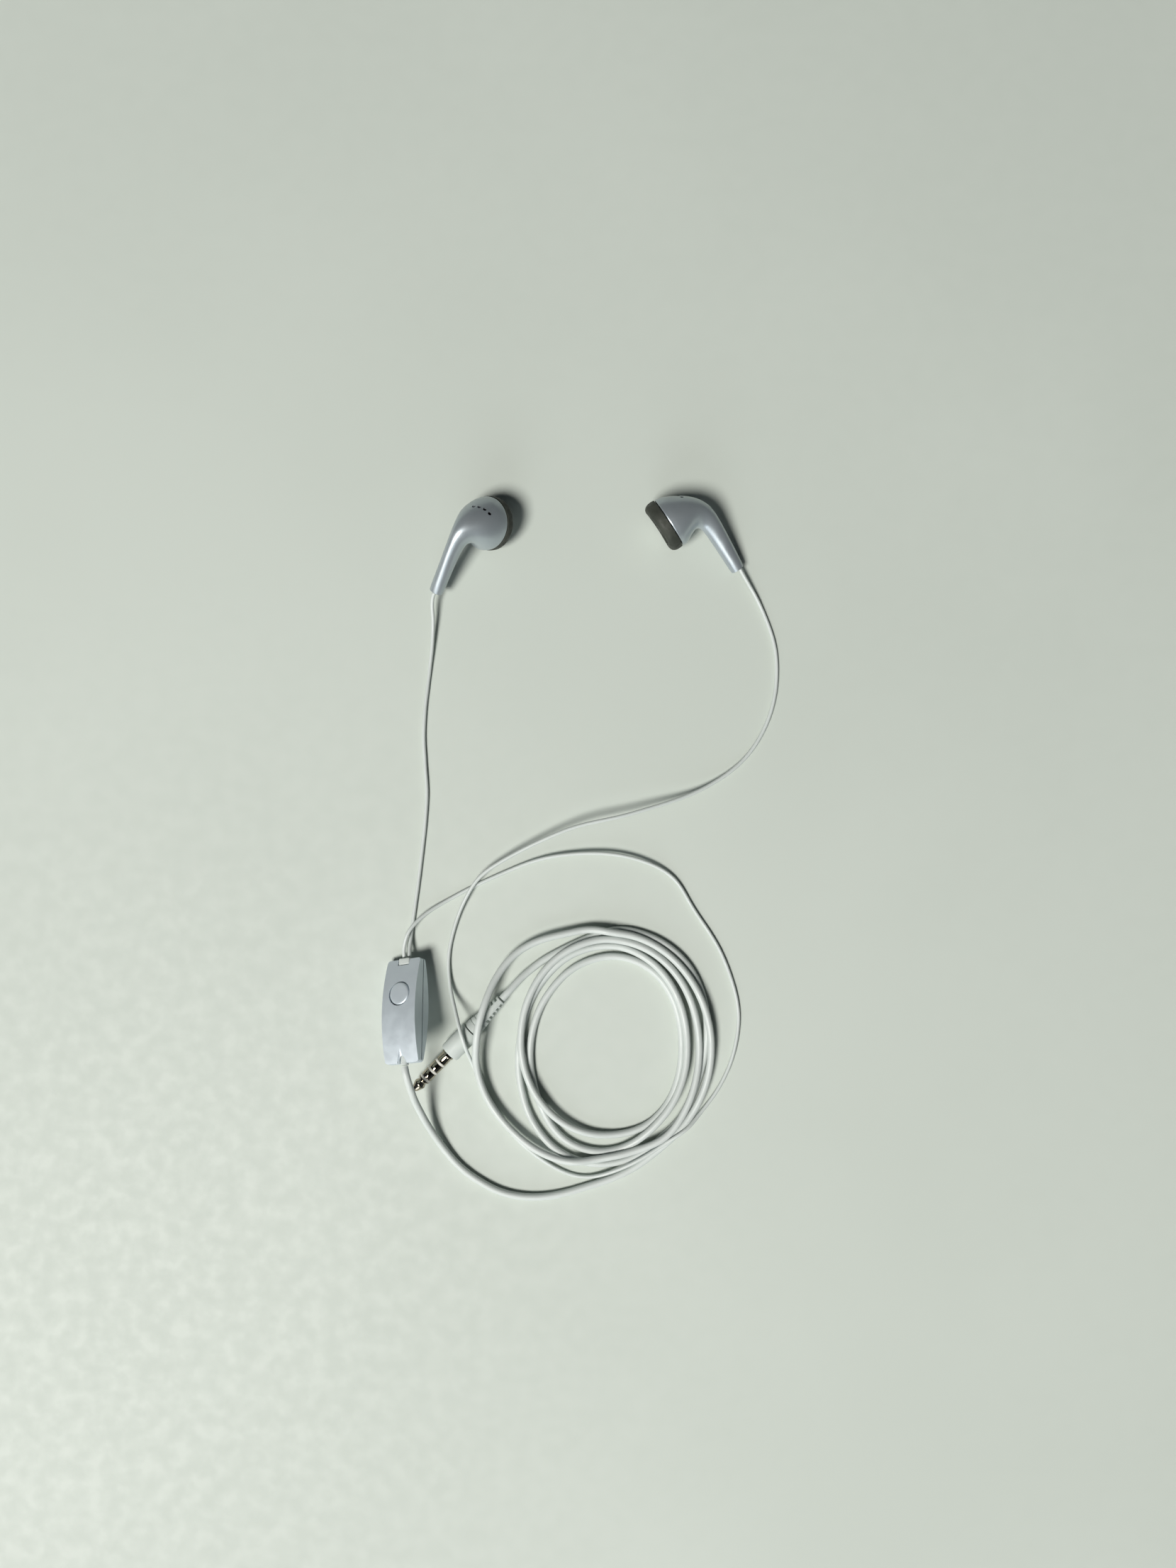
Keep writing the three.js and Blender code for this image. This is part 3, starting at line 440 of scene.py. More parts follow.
def plug_place():
    """The plug's frame: Z along it from its tip at z = 0."""
    axis = (centroid("plug_moulding") - centroid("plug_tip")).normalized()
    corners = [vertex.co for vertex in frame["nodes"]["plug_tip"].data.vertices]
    middle = centroid("plug_tip")
    tip = middle + min((corner - middle).dot(axis) for corner in corners) * axis
    across = axis.cross(Vector((0, 0, 1))).normalized()
    return place_matrix(across, axis.cross(across), axis, tip)


# ---------------- materials


class Look:
    """A procedural material: one shader with mottled colour, uneven gloss and layers of relief."""

    def __init__(self, name, colour, roughness, **settings):
        self.material = bpy.data.materials.new(name)
        self.material.use_nodes = True
        self.nodes = self.material.node_tree.nodes
        self.links = self.material.node_tree.links
        self.shader = self.nodes["Principled BSDF"]
        for socket, value in settings.items():
            self.shader.inputs[socket.replace("_", " ")].default_value = value
        self.places = self.nodes.new("ShaderNodeTexCoord").outputs["Object"]
        self.colour = None
        self.relief = None
        self.base = colour
        self.set_gloss(roughness, roughness, 300)

    def noise(self, scale, detail=3.0, roughness=0.5, stretch=None):
        """A noise pattern's value; scale is in features per metre."""
        texture = self.nodes.new("ShaderNodeTexNoise")
        texture.inputs["Scale"].default_value = scale
        texture.inputs["Detail"].default_value = detail
        texture.inputs["Roughness"].default_value = roughness
        places = self.places
        if stretch:
            mapping = self.nodes.new("ShaderNodeMapping")
            mapping.inputs["Scale"].default_value = stretch
            self.links.new(places, mapping.inputs["Vector"])
            places = mapping.outputs["Vector"]
        self.links.new(places, texture.inputs["Vector"])
        return texture.outputs["Fac"]

    def wave(self, scale, direction, distortion=0.0):
        """Parallel bands' value."""
        texture = self.nodes.new("ShaderNodeTexWave")
        texture.bands_direction = direction
        texture.inputs["Scale"].default_value = scale
        texture.inputs["Distortion"].default_value = distortion
        self.links.new(self.places, texture.inputs["Vector"])
        return texture.outputs["Fac"]

    def grains(self, scale):
        """The distance to the nearest of scattered grains."""
        texture = self.nodes.new("ShaderNodeTexVoronoi")
        texture.inputs["Scale"].default_value = scale
        self.links.new(self.places, texture.inputs["Vector"])
        return texture.outputs["Distance"]

    def spread(self, value, low, high, start=0.35, end=0.65):
        """A value turned into a range of numbers."""
        node = self.nodes.new("ShaderNodeMapRange")
        node.inputs["From Min"].default_value = start
        node.inputs["From Max"].default_value = end
        node.inputs["To Min"].default_value = low
        node.inputs["To Max"].default_value = high
        self.links.new(value, node.inputs["Value"])
        return node.outputs["Result"]

    def tint(self, value, other, start=0.4, end=0.6):
        """Mixes another colour in where a value is high."""
        node = self.nodes.new("ShaderNodeMix")
        node.data_type = "RGBA"
        self.links.new(self.spread(value, 0.0, 1.0, start, end), node.inputs["Factor"])
        if self.colour is None:
            node.inputs["A"].default_value = (*self.base, 1)
        else:
            self.links.new(self.colour, node.inputs["A"])
        node.inputs["B"].default_value = (*other, 1)
        self.colour = node.outputs["Result"]
        self.links.new(self.colour, self.shader.inputs["Base Color"])
        return self

    def set_gloss(self, low, high, scale, detail=4.0):
        """Uneven roughness between two values."""
        value = self.spread(self.noise(scale, detail), low, high)
        self.links.new(value, self.shader.inputs["Roughness"])
        return self

    def raise_by(self, value, depth, strength=1.0):
        """Adds relief of a depth in metres where a value is high."""
        node = self.nodes.new("ShaderNodeBump")
        node.inputs["Distance"].default_value = depth
        node.inputs["Strength"].default_value = strength
        self.links.new(value, node.inputs["Height"])
        if self.relief is not None:
            self.links.new(self.relief, node.inputs["Normal"])
        self.relief = node.outputs["Normal"]
        self.links.new(self.relief, self.shader.inputs["Normal"])
        return self


def housing_plastic():
    """Pearly, polished plastic with a faint orange peel and finger marks."""
    look = Look("housing_plastic", (0.43, 0.48, 0.51), 0.38,
                Metallic=0.6, Coat_Weight=0.4, Coat_Roughness=0.2)
    look.tint(look.noise(90, 3), (0.41, 0.46, 0.49))
    look.tint(look.noise(900, 6, 0.7), (0.37, 0.41, 0.435), 0.62, 0.8)
    look.set_gloss(0.34, 0.42, 260, 6)
    look.raise_by(look.noise(1100, 2), 0.000012)
    return look.material


def cover_plastic():
    """Pearly, satin plastic with a fine moulded grain."""
    look = Look("cover_plastic", (0.66, 0.73, 0.78), 0.42, Metallic=0.45)
    look.tint(look.noise(120, 4), (0.63, 0.70, 0.75))
    look.tint(look.noise(1500, 6, 0.7), (0.57, 0.63, 0.67), 0.64, 0.8)
    look.set_gloss(0.38, 0.50, 300, 6)
    look.raise_by(look.noise(5200, 3), 0.000014)
    look.raise_by(look.noise(420, 2), 0.00001)
    return look.material


def moulding_plastic():
    """Matte white moulded elastomer."""
    look = Look("moulding_plastic", (0.56, 0.61, 0.58), 0.55)
    look.tint(look.noise(160, 4), (0.525, 0.57, 0.545))
    look.tint(look.noise(1300, 6, 0.7), (0.45, 0.48, 0.46), 0.62, 0.8)
    look.set_gloss(0.48, 0.64, 500, 5)
    look.raise_by(look.noise(6000, 3), 0.00002)
    return look.material


def cord_jacket():
    """Smooth elastomer with slight unevenness along it."""
    look = Look("cord_jacket", (0.61, 0.655, 0.635), 0.42)
    look.tint(look.noise(70, 3), (0.58, 0.625, 0.605))
    look.tint(look.noise(1400, 6, 0.7), (0.50, 0.535, 0.515), 0.64, 0.82)
    look.set_gloss(0.36, 0.52, 350, 5)
    look.raise_by(look.noise(700, 2), 0.00002)
    look.raise_by(look.noise(5000, 2), 0.000008)
    return look.material


def ear_rubber():
    """Soft dark rubber with dust and lighter, worn places."""
    look = Look("ear_rubber", (0.028, 0.032, 0.025), 0.62)
    look.tint(look.noise(160, 3, 0.5), (0.042, 0.046, 0.036))
    look.tint(look.noise(2600, 4, 0.7), (0.09, 0.095, 0.08), 0.64, 0.82)
    look.set_gloss(0.5, 0.78, 700, 5)
    look.raise_by(look.noise(3800, 4), 0.00003)
    look.raise_by(look.noise(500, 2), 0.00003)
    return look.material


def trim_plastic():
    """The lighter, slightly warm plastic of the lip and the stem's end."""
    look = Look("trim_plastic", (0.60, 0.64, 0.60), 0.4)
    look.tint(look.noise(300, 4), (0.54, 0.58, 0.55))
    look.set_gloss(0.34, 0.5, 500, 4)
    look.raise_by(look.noise(3500, 3), 0.000012)
    return look.material


def mesh_cloth():
    """Fine black woven cloth."""
    look = Look("mesh_cloth", (0.02, 0.021, 0.022), 0.85)
    weave = look.wave(1500, "X", 0.3)
    look.tint(weave, (0.06, 0.062, 0.065), 0.2, 0.8)
    look.set_gloss(0.75, 0.95, 1500, 2)
    look.raise_by(weave, 0.00005)
    look.raise_by(look.wave(1500, "Y", 0.3), 0.00005)
    return look.material


def film():
    """Thin amber film."""
    look = Look("film", (0.50, 0.40, 0.22), 0.25)
    look.tint(look.noise(400, 3), (0.44, 0.34, 0.18))
    look.set_gloss(0.18, 0.34, 600, 4)
    look.raise_by(look.noise(900, 2), 0.00002)
    return look.material


def coil_wire():
    """Lacquered copper wire in wound turns."""
    look = Look("coil_wire", (0.62, 0.27, 0.13), 0.3, Metallic=1.0)
    turns = look.wave(2600, "DIAGONAL")
    look.tint(turns, (0.42, 0.15, 0.07), 0.2, 0.9)
    look.set_gloss(0.24, 0.42, 900, 3)
    look.raise_by(turns, 0.00004)
    return look.material


def metal_look(name, colour, other, roughness, grain):
    """Metal with a fine, directional grain."""
    look = Look(name, colour, roughness, Metallic=1.0)
    look.tint(look.noise(500, 4), other)
    look.set_gloss(roughness * 0.7, roughness * 1.4, 1200, 4)
    look.raise_by(look.noise(grain, 3, 0.6, (1, 1, 0.15)), 0.000006)
    return look.material


def plug_contact():
    """Polished, slightly warm plated metal with hairline wear, darkened as a painted dark reflection."""
    # The base colour is darker than the plating's own: painted dark reflection.
    look = Look("plug_contact", (0.42, 0.375, 0.30), 0.1, Metallic=1.0)
    look.tint(look.noise(700, 4), (0.37, 0.33, 0.26))
    look.tint(look.noise(2600, 6, 0.8), (0.28, 0.25, 0.20), 0.68, 0.8)
    look.set_gloss(0.02, 0.05, 1500, 3)
    look.raise_by(look.noise(900, 2), 0.0000012)
    return look.material


def insulator_plastic():
    """Cream insulator plastic."""
    look = Look("insulator_plastic", (0.72, 0.71, 0.65), 0.45)
    look.tint(look.noise(900, 4), (0.66, 0.65, 0.59))
    look.set_gloss(0.38, 0.55, 900, 4)
    look.raise_by(look.noise(5000, 3), 0.00001)
    return look.material


def driver_plastic():
    """Dark glass-filled plastic."""
    look = Look("driver_plastic", (0.03, 0.032, 0.035), 0.5)
    look.tint(look.noise(1200, 5, 0.7), (0.06, 0.063, 0.066))
    look.set_gloss(0.42, 0.62, 900, 4)
    look.raise_by(look.noise(3500, 4), 0.00002)
    return look.material


def board_material():
    """Green solder mask with paler traces under it."""
    look = Look("board_material", (0.015, 0.115, 0.05), 0.35)
    look.tint(look.wave(500, "DIAGONAL", 6.0), (0.04, 0.2, 0.09), 0.55, 0.6)
    look.tint(look.grains(900), (0.45, 0.42, 0.30), 0.02, 0.0)
    look.set_gloss(0.28, 0.45, 700, 4)
    look.raise_by(look.noise(1800, 3), 0.00001)
    return look.material


def felt_cloth():
    """Dark damping felt."""
    look = Look("felt_cloth", (0.025, 0.025, 0.027), 0.9)
    look.tint(look.noise(3000, 6, 0.8, (1, 0.3, 1)), (0.09, 0.09, 0.095))
    look.set_gloss(0.85, 0.98, 1500, 3)
    look.raise_by(look.noise(4000, 6, 0.8), 0.0001)
    return look.material


HOUSING = housing_plastic()
COVER = cover_plastic()
MOULDING = moulding_plastic()
CORD = cord_jacket()
RUBBER = ear_rubber()
TRIM = trim_plastic()
CLOTH = mesh_cloth()
FILM = film()
COPPER = coil_wire()
STEEL = metal_look("steel", (0.48, 0.49, 0.50), (0.40, 0.41, 0.42), 0.34, 3000)
MAGNET = metal_look("magnet_plating", (0.62, 0.62, 0.63), (0.55, 0.55, 0.57), 0.22, 2000)
CONTACT = plug_contact()
INSULATOR = insulator_plastic()
DRIVER = driver_plastic()
BOARD = board_material()
FELT = felt_cloth()

# ---------------- cords


def cord_piece(name, line, diameter, far_end, with_pieces, *nodes):
    """A round cord along a line of points, for the CAD nodes that it stands for."""
    curve = bpy.data.curves.new(name, "CURVE")
    curve.dimensions = "3D"
    curve.bevel_depth = diameter / 2
    curve.bevel_resolution = 5
    curve.use_fill_caps = True
    spline = curve.splines.new("POLY")
    spline.points.add(len(line) - 1)
    for point, place in zip(spline.points, line):
        point.co = (*place, 1)
    spline.use_smooth = True
    curve.materials.append(CORD)
    piece = bpy.data.objects.new(name, curve)
    bpy.context.scene.collection.objects.link(piece)
    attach(piece, "root")
    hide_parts(*nodes)
    return piece


def make_cords(plug_pieces):
    """The two bud cords and the main cord, which lie clear of each other."""
    main_route = [*MAIN_START, *coil_points(OUTER_START), *OUTER_TURN, *coil_points(WOUND_TURNS), *PLUG_END]
    main = settle(cord_line(main_route), MAIN_CORD)
    right = settle(cord_line(RIGHT_ROUTE), THIN_CORD, main, (MAIN_CORD + THIN_CORD) / 2)
    cord_piece("left_cord", cord_line(LEFT_ROUTE), THIN_CORD, "object", (), "left_bud_cord")
    cord_piece("right_cord", right, THIN_CORD, "object", (),
               "right_bud_cord_start", "right_bud_cord_over_plug", "right_bud_cord_end")
    cord_piece("main_cord", main, MAIN_CORD, "plug", plug_pieces,
               "main_cord_start", "main_cord_outer_turn", "main_cord_coil", "main_cord_plug_end")


# ---------------- earbuds

# The housing's outline in the plane of the stem: the outer side's back and down, the stem side's back
# and down, and half the width across.
HOUSING_STATIONS = (
    (0.0, -7.6, 0.0, 7.6, 7.6),
    (2.4, -6.95, 1.0, 7.7, 7.35),
    (4.8, -5.7, 2.4, 7.1, 6.8),
    (7.3, -4.1, 3.5, 6.55, 6.0),
    (9.4, -2.3, 4.4, 6.15, 5.0),
    (11.1, -0.1, 5.3, 5.9, 3.9),
    (12.2, 2.4, 6.1, 6.1, 3.0),
    (12.6, 5.1, 6.7, 6.9, 2.45),
    (12.6, 7.8, 7.0, 8.4, 2.2),
    (12.4, 11.5, 7.2, 11.5, 2.05),
    (11.55, 22.6, 7.45, 22.6, 2.05),
)
HOUSING_WALL = 0.9
STEM_END_WALL = 0.45
HOUSING_SIDES = 96
STEPS_BETWEEN_STATIONS = 8
LIP = 0.12  # rounding of the housing's mouth and the stem's end
STEM_LENGTH = 22.6
STEM_SETBACK = 9.5
VENTS = 4
VENT_RADIUS = 0.52
VENT_FLARE = 1.3  # radius of the drill well inside the housing
VENT_REACH = 2.5  # of the drill, either way from the housing's skin
VENT_FLARE_END = -0.25
VENT_FIRST = (0.35, 4.4, 6.8)  # turn about the bud's axis, distance from it and setback
VENT_STEP = (-0.32, 0.4, -0.57)
SHOULDER_SLOPE = 0.575


def housing_ring(station, wall):
    """The points of one oval of the housing, drawn in by a wall's thickness."""
    outer_back, outer_down, inner_back, inner_down, half = station
    back = (outer_back + inner_back) / 2
    down = (outer_down + inner_down) / 2
    reach = math.hypot(outer_back - inner_back, outer_down - inner_down) / 2
    shrink = (reach - wall) / reach
    points = []
    for i in range(HOUSING_SIDES):
        angle = 2 * math.pi * i / HOUSING_SIDES
        along = shrink * math.cos(angle) / 2
        points.append((
            (half - wall) * math.sin(angle),
            -down - (outer_down - inner_down) * along,
            -back - (outer_back - inner_back) * along,
        ))
    return points


def vent_drill(number):
    """A drill for one vent, square to the housing's shoulder."""
    turn, radius, back = (first + number * step for first, step in zip(VENT_FIRST, VENT_STEP))
    lean = Matrix.Rotation(-SHOULDER_SLOPE - math.pi / 2, 4, "X")
    place = Matrix.Rotation(-turn, 4, "Z") @ Matrix.Translation((0, radius, -back)) @ lean
    drill = turned("cutter", [
        (0, -VENT_REACH), (VENT_FLARE, -VENT_REACH), (VENT_RADIUS, VENT_FLARE_END),
        (VENT_RADIUS, VENT_REACH), (0, VENT_REACH),
    ], 48)
    drill.data.transform(place)
    return drill


def rear_housing(side, place):
    """The housing: one shell that tapers from its round mouth into the oval stem."""
    stations = smooth_rows(HOUSING_STATIONS, STEPS_BETWEEN_STATIONS)
    last_step = len(stations) - 1
    thin_from = last_step - STEPS_BETWEEN_STATIONS
    outside = [housing_ring(stations[0], LIP)]
    outside += [housing_ring(station, 0) for station in stations[1:-1]]
    outside.append(housing_ring(stations[-1], LIP))
    inside = []
    for step, station in enumerate(stations):
        thinned = max(0.0, (step - thin_from) / STEPS_BETWEEN_STATIONS)
        inside.append(housing_ring(station, HOUSING_WALL + (STEM_END_WALL - HOUSING_WALL) * thinned))
    shell = loft(side + "_housing", outside + inside[::-1], hollow=True)
    carve(shell, [vent_drill(number) for number in range(VENTS)])
    return put(shell, place, HOUSING, "housing", side + "_rear_housing")


CAP_RADIUS = 1.3
CAP_SPAN = (0.05, 2.05)  # its ends, from the end of the stem
CAP_EDGE = 0.08
PORT_HALF_SIZE = (0.75, 0.35)
PORT_OFFSET = 0.65


def oval(name, half_width, half_depth, offset, low, high, sides=64):
    """An oval prism down the stem; offset is forwards from the stem's middle."""
    rings = []
    for y in (low, high):
        angles = [2 * math.pi * i / sides for i in range(sides)]
        rings.append([(half_width * math.cos(a), y, offset - STEM_SETBACK + half_depth * math.sin(a))
                      for a in angles])
    return loft(name, rings)


def stem_cap(side, place):
    """The oval plug in the stem's end, with an open port in front of the cord."""
    low, high = (end - STEM_LENGTH for end in CAP_SPAN)
    cap = oval(side + "_stem_end", CAP_RADIUS, CAP_RADIUS, 0, low, high)
    carve(cap, [oval("cutter", *PORT_HALF_SIZE, PORT_OFFSET, low - 1, high + 1)])
    soften(cap, CAP_EDGE)
    return put(cap, place, TRIM, "trim", side + "_stem_cap")


EAR_RING_FRONT = 3.65
EAR_RING_PROFILE = (
    (6.95, 0.3), (7.58, 0.3), (7.66, 0.38), (7.7, 1.0), (7.71, 1.6), (7.64, 2.2), (7.46, 2.7), (7.1, 3.18),
    (6.6, 3.5), (6.0, EAR_RING_FRONT), (5.55, 3.58), (5.25, 3.4), (5.2, 3.2), (5.2, 2.95), (6.95, 2.95),
    (6.95, 0.3),
)
EAR_RING_WAVE = 0.24  # how far the soft front edge strays
EAR_RING_RISE = 2.2  # height above which it strays


def ear_ring(side, place):
    """The soft ring round the front edge, a little out of true."""
    ring = turned(side + "_ring", EAR_RING_PROFILE, 128)
    for vertex in ring.data.vertices:
        angle = math.atan2(vertex.co.y, vertex.co.x)
        share = max(0.0, vertex.co.z - EAR_RING_RISE) / (EAR_RING_FRONT - EAR_RING_RISE)
        vertex.co.z += share * EAR_RING_WAVE * (0.5 * math.sin(angle) - math.cos(2 * angle))
    return put(ring, place, RUBBER, "ear_rubber", side + "_ear_ring")


GRILLE_ROWS = ((0.0, 1), (2.6, 8))  # distance from the middle and number of holes
GRILLE_HOLE_RADIUS = 0.6
GRILLE_HEIGHT = 2.4


def front_frame(side, place):
    """The spigot in the housing's mouth and the perforated, slightly domed front."""
    frame_piece = turned(side + "_grille", [
        (6.0, -0.9), (6.2, -0.9), (6.2, 0.3), (6.65, 0.3), (6.65, 2.4), (6.1, 2.55), (5.4, 2.65), (3.0, 2.72),
        (0, 2.75), (0, 2.15), (3.0, 2.12), (5.4, 2.05), (6.0, 1.8), (6.0, -0.9),
    ])
    drills = []
    for radius, holes in GRILLE_ROWS:
        for i in range(holes):
            angle = 2 * math.pi * i / holes
            spot = Matrix.Translation((radius * math.cos(angle), radius * math.sin(angle), GRILLE_HEIGHT))
            drills.append(cylinder(GRILLE_HOLE_RADIUS, -1.5, 1.5, spot, 32))
    carve(frame_piece, drills)
    return put(frame_piece, place, TRIM, "trim", side + "_front_frame")


FILM_SECTION = ((2.0, 0.65), (3.1, 0.3), (3.7, 0.52), (4.3, 0.62), (5.0, 0.52), (5.7, 0.3))
FILM_THICKNESS = 0.2
RIBS = 36
RIB_HEIGHT = 0.03
RIB_TWIST = 3
RIB_RADII = (3.4, 5.4)


def diaphragm_film(side, place):
    """The domed film with its rolled and ribbed surround."""
    top = [(radius, z + FILM_THICKNESS) for radius, z in reversed(FILM_SECTION)]
    profile = [(0, 0.9), *FILM_SECTION, *top, (0, 1.12)]
    dome = turned(side + "_film", profile, 144)
    for vertex in dome.data.vertices:
        radius = math.hypot(vertex.co.x, vertex.co.y)
        if RIB_RADII[0] < radius < RIB_RADII[1]:
            turn = RIBS * math.atan2(vertex.co.y, vertex.co.x) + radius * RIB_TWIST
            vertex.co.z += RIB_HEIGHT * math.sin(turn)
    return put(dome, place, FILM, "film", side + "_diaphragm", body=side + "_cone")


def make_bud(side):
    """One earbud."""
    place = bud_place(side)
    rear_housing(side, place)
    stem_cap(side, place)
    ear_ring(side, place)
    front_frame(side, place)
    diaphragm_film(side, place)
    inner = {
        "acoustic_mesh": CLOTH, "voice_coil": COPPER, "basket": DRIVER, "pole_plate": STEEL,
        "magnet": MAGNET, "yoke": STEEL, "terminal_board": BOARD, "vent_felt": FELT,
    }
    for node, material in inner.items():
        recolour(side + "_" + node, material)


# ---------------- remote

HALF_LENGTH = 14.8
HALF_WIDTH = 5.6
CORNER = 0.9
WALL = 0.9
CAVITY = (-10.2, 12.6)
TOP = (4.0, 1.5)  # rise of the crown and of the ends
BOTTOM = (3.0, 0.75)
BUTTON_Y = 4.5
BUTTON_RADIUS = 3.2
BUTTON_CLEARANCE = 0.28
GAP = 0.3  # between the covers
COVER_EDGE = 0.14
TUNNEL_RADIUS = 1.45
NOTCH_HALF_WIDTH = 1.93
NOTCH_ENDS = (13.0, 15.8)
SCOOP_MIDDLE = (0, -12.9, 2.15)
SCOOP_LEAN = 0.29
SCOOP_RADIUS = 1.8
SCOOP_FLATTENING = 0.7
MIC_PORT = (-2.3, -12.2, 0.85)
MIC_PORT_RADIUS = 0.35
LENGTHWAYS = Matrix.Rotation(math.pi / 2, 4, "X")  # turns a body along Z to lie along the remote


def crown(y, rise, end_rise):
    """Height of a crowned surface at a place along the remote."""
    return rise - (rise - end_rise) * (y / HALF_LENGTH) ** 2


def crowned_body(name, low, high, half_width, level, shape, inset, steps=56):
    """A body across the remote between two ends, from a flat level to a crowned one."""
    outline = [(low, level), (high, level)]
    for i in range(steps + 1):
        y = high + (low - high) * i / steps
        outline.append((y, crown(y, *shape) - inset))
    return loft(name, [[(x, y, z) for y, z in outline] for x in (-half_width, half_width)])


def corner_prism():
    """The remote's outline seen from above, with rounded corners, as a tall cutter."""
    outline = []
    for quarter, (sx, sy) in enumerate(((1, 1), (-1, 1), (-1, -1), (1, -1))):
        for i in range(9):
            angle = (quarter + i / 8) * math.pi / 2
            outline.append((sx * (HALF_WIDTH - CORNER) + CORNER * math.cos(angle),
                            sy * (HALF_LENGTH - CORNER) + CORNER * math.sin(angle)))
    return loft("cutter", [[(x, y, z) for x, y in outline] for z in (-8, 8)])


def cover(name, shape, upside):
    """One cover: a crowned tray with a tunnel for the main cord and a notch for the bud cords' collar."""
    body = crowned_body(name, -HALF_LENGTH, HALF_LENGTH, HALF_WIDTH, GAP / 2, shape, 0)
    hollow = crowned_body("cutter", *CAVITY, HALF_WIDTH - WALL, -1, shape, WALL)
    carve(body, [corner_prism()], "INTERSECT")
    tunnel_place = Matrix.Translation((0, -12.3, 0.1 * upside)) @ LENGTHWAYS
    tunnel = cylinder(TUNNEL_RADIUS, -3.5, 3.5, tunnel_place)
    heights = (-1.3, 4) if upside > 0 else (-4, 1.3)
    notch = box_body("cutter", (-NOTCH_HALF_WIDTH, NOTCH_ENDS[0], heights[0]),
                     (NOTCH_HALF_WIDTH, NOTCH_ENDS[1], heights[1]))
    return carve(body, [hollow, tunnel, notch])


def top_cover(place):
    """The top cover, with the button's hole, the scoop over the main cord and the microphone's port."""
    body = cover("remote_top", TOP, 1)
    hole = cylinder(BUTTON_RADIUS + BUTTON_CLEARANCE, -3, 7, Matrix.Translation((0, BUTTON_Y, 0)), 96)
    scoop_place = Matrix.Translation(SCOOP_MIDDLE) @ Matrix.Rotation(SCOOP_LEAN, 4, "X")
    scoop_place = scoop_place @ Matrix.Diagonal((1, 1, SCOOP_FLATTENING, 1))
    scoop_place = scoop_place @ Matrix.Rotation(-math.pi / 2, 4, "X")
    scoop = cylinder(SCOOP_RADIUS, -2.5, 2.5, scoop_place, 64, 0.02)
    port = cylinder(MIC_PORT_RADIUS, -3, 3, Matrix.Translation(MIC_PORT) @ LENGTHWAYS)
    carve(body, [hole, scoop, port])
    soften(body, COVER_EDGE)
    return put(body, place, COVER, "cover", "remote_top_cover", even=True)


def bottom_cover(place):
    """The bottom cover, made the same way and turned over."""
    body = cover("remote_bottom", BOTTOM, -1)
    soften(body, COVER_EDGE)
    body.data.transform(Matrix.Diagonal((-1, 1, -1, 1)))
    return put(body, place, COVER, "cover", "remote_bottom_cover", even=True)


def button(place):
    """The round button, with its flange and stalk."""
    top = crown(BUTTON_Y, *TOP) + 0.1
    body = turned("remote_push_button", [
        (0, 1.45), (0.9, 1.45), (0.9, 1.75), (3.65, 1.75), (3.65, 2.05), (BUTTON_RADIUS, 2.05),
        (BUTTON_RADIUS, top - 0.4), (BUTTON_RADIUS - 0.08, top - 0.2), (BUTTON_RADIUS - 0.25, top - 0.06),
        (BUTTON_RADIUS - 0.5, top), (2.2, top + 0.03), (1.2, top + 0.04), (0, top + 0.05),
    ], 128)
    middle = Matrix.Translation((0, BUTTON_Y, 0))
    return put(body, place @ middle, COVER, "cover", "remote_button", body="button")


def make_remote():
    """The in-line remote."""
    place = remote_place()
    top_cover(place)
    bottom_cover(place)
    button(place)
    collar = box_body("bud_cord_collar", (-1.85, 13.1, -1.0), (1.85, 15.2, 1.9))
    put(soften(collar, 0.45, 5), place, CORD, "cord_jacket", "remote_bud_cord_collar")
    along = Matrix.Translation((0, -12.7, 0.1)) @ LENGTHWAYS
    sleeve = turned("main_cord_sleeve", [(0, -2.5), (1.15, -2.5), (1.15, 2.5), (0, 2.5)])
    put(soften(sleeve, 0.12), place @ along, CORD, "cord_jacket", "remote_main_cord_anchor")
    recolour("remote_dome_switch", STEEL)
    recolour("remote_circuit_board", BOARD)
    recolour("remote_mic_capsule", STEEL)
    recolour("remote_mic_gasket", FELT)


# ---------------- plug

PIN_RADIUS = 1.75
FINE_GAP = 0.08
INSULATOR_CENTRES = (4.9, 8.0, 11.1)
INSULATOR_HALF = 0.33
CONTACT_BORE = 0.78
COLLAR_END = 15.0
MOULDING_END = 24.0
RELIEF_START = 24.3
RELIEF_LENGTH = 12.2
RELIEF_RADII = (2.75, 1.45)
RELIEF_PLAIN = 2.0
RELIEF_RIBS = 7
RELIEF_SIDES = 120
RING_GROOVES = 2
RING_GROOVE_DEPTH = 0.16
RING_GROOVE_WIDTH = 0.28
SLOT_DEPTH = 0.7
SLOT_SIDE = 0.5  # how far across the relief the spine between the slots reaches
SLOT_SLOPE = 0.1  # how far across the relief a slot takes to reach its depth
RELIEF_EDGE = 0.12
GROOVE_EDGE = 0.08  # where a groove's rounded rim starts
GROOVE_RIM = 0.15  # the share of its depth that the rim has
GROOVE_SIDE = 0.03
GRIP_MOUTH = 2.07
GRIP_RADIUS = 3.1
SLEEVE_NECK = 1.4


def contact_end(number):
    """Where the contact in front of an insulator ends."""
    return INSULATOR_CENTRES[number] - INSULATOR_HALF - FINE_GAP


def contact_start(number):
    """Where the contact behind an insulator starts."""
    return INSULATOR_CENTRES[number] + INSULATOR_HALF + FINE_GAP


def tube(name, inner, outer, low, high, edge):
    """A turned sleeve with slightly rounded outer edges."""
    return turned(name, [
        (inner, low), (outer - edge, low), (outer - 0.3 * edge, low + 0.3 * edge), (outer, low + edge),
        (outer, high - edge), (outer - 0.3 * edge, high - 0.3 * edge), (outer - edge, high), (inner, high),
        (inner, low),
    ])


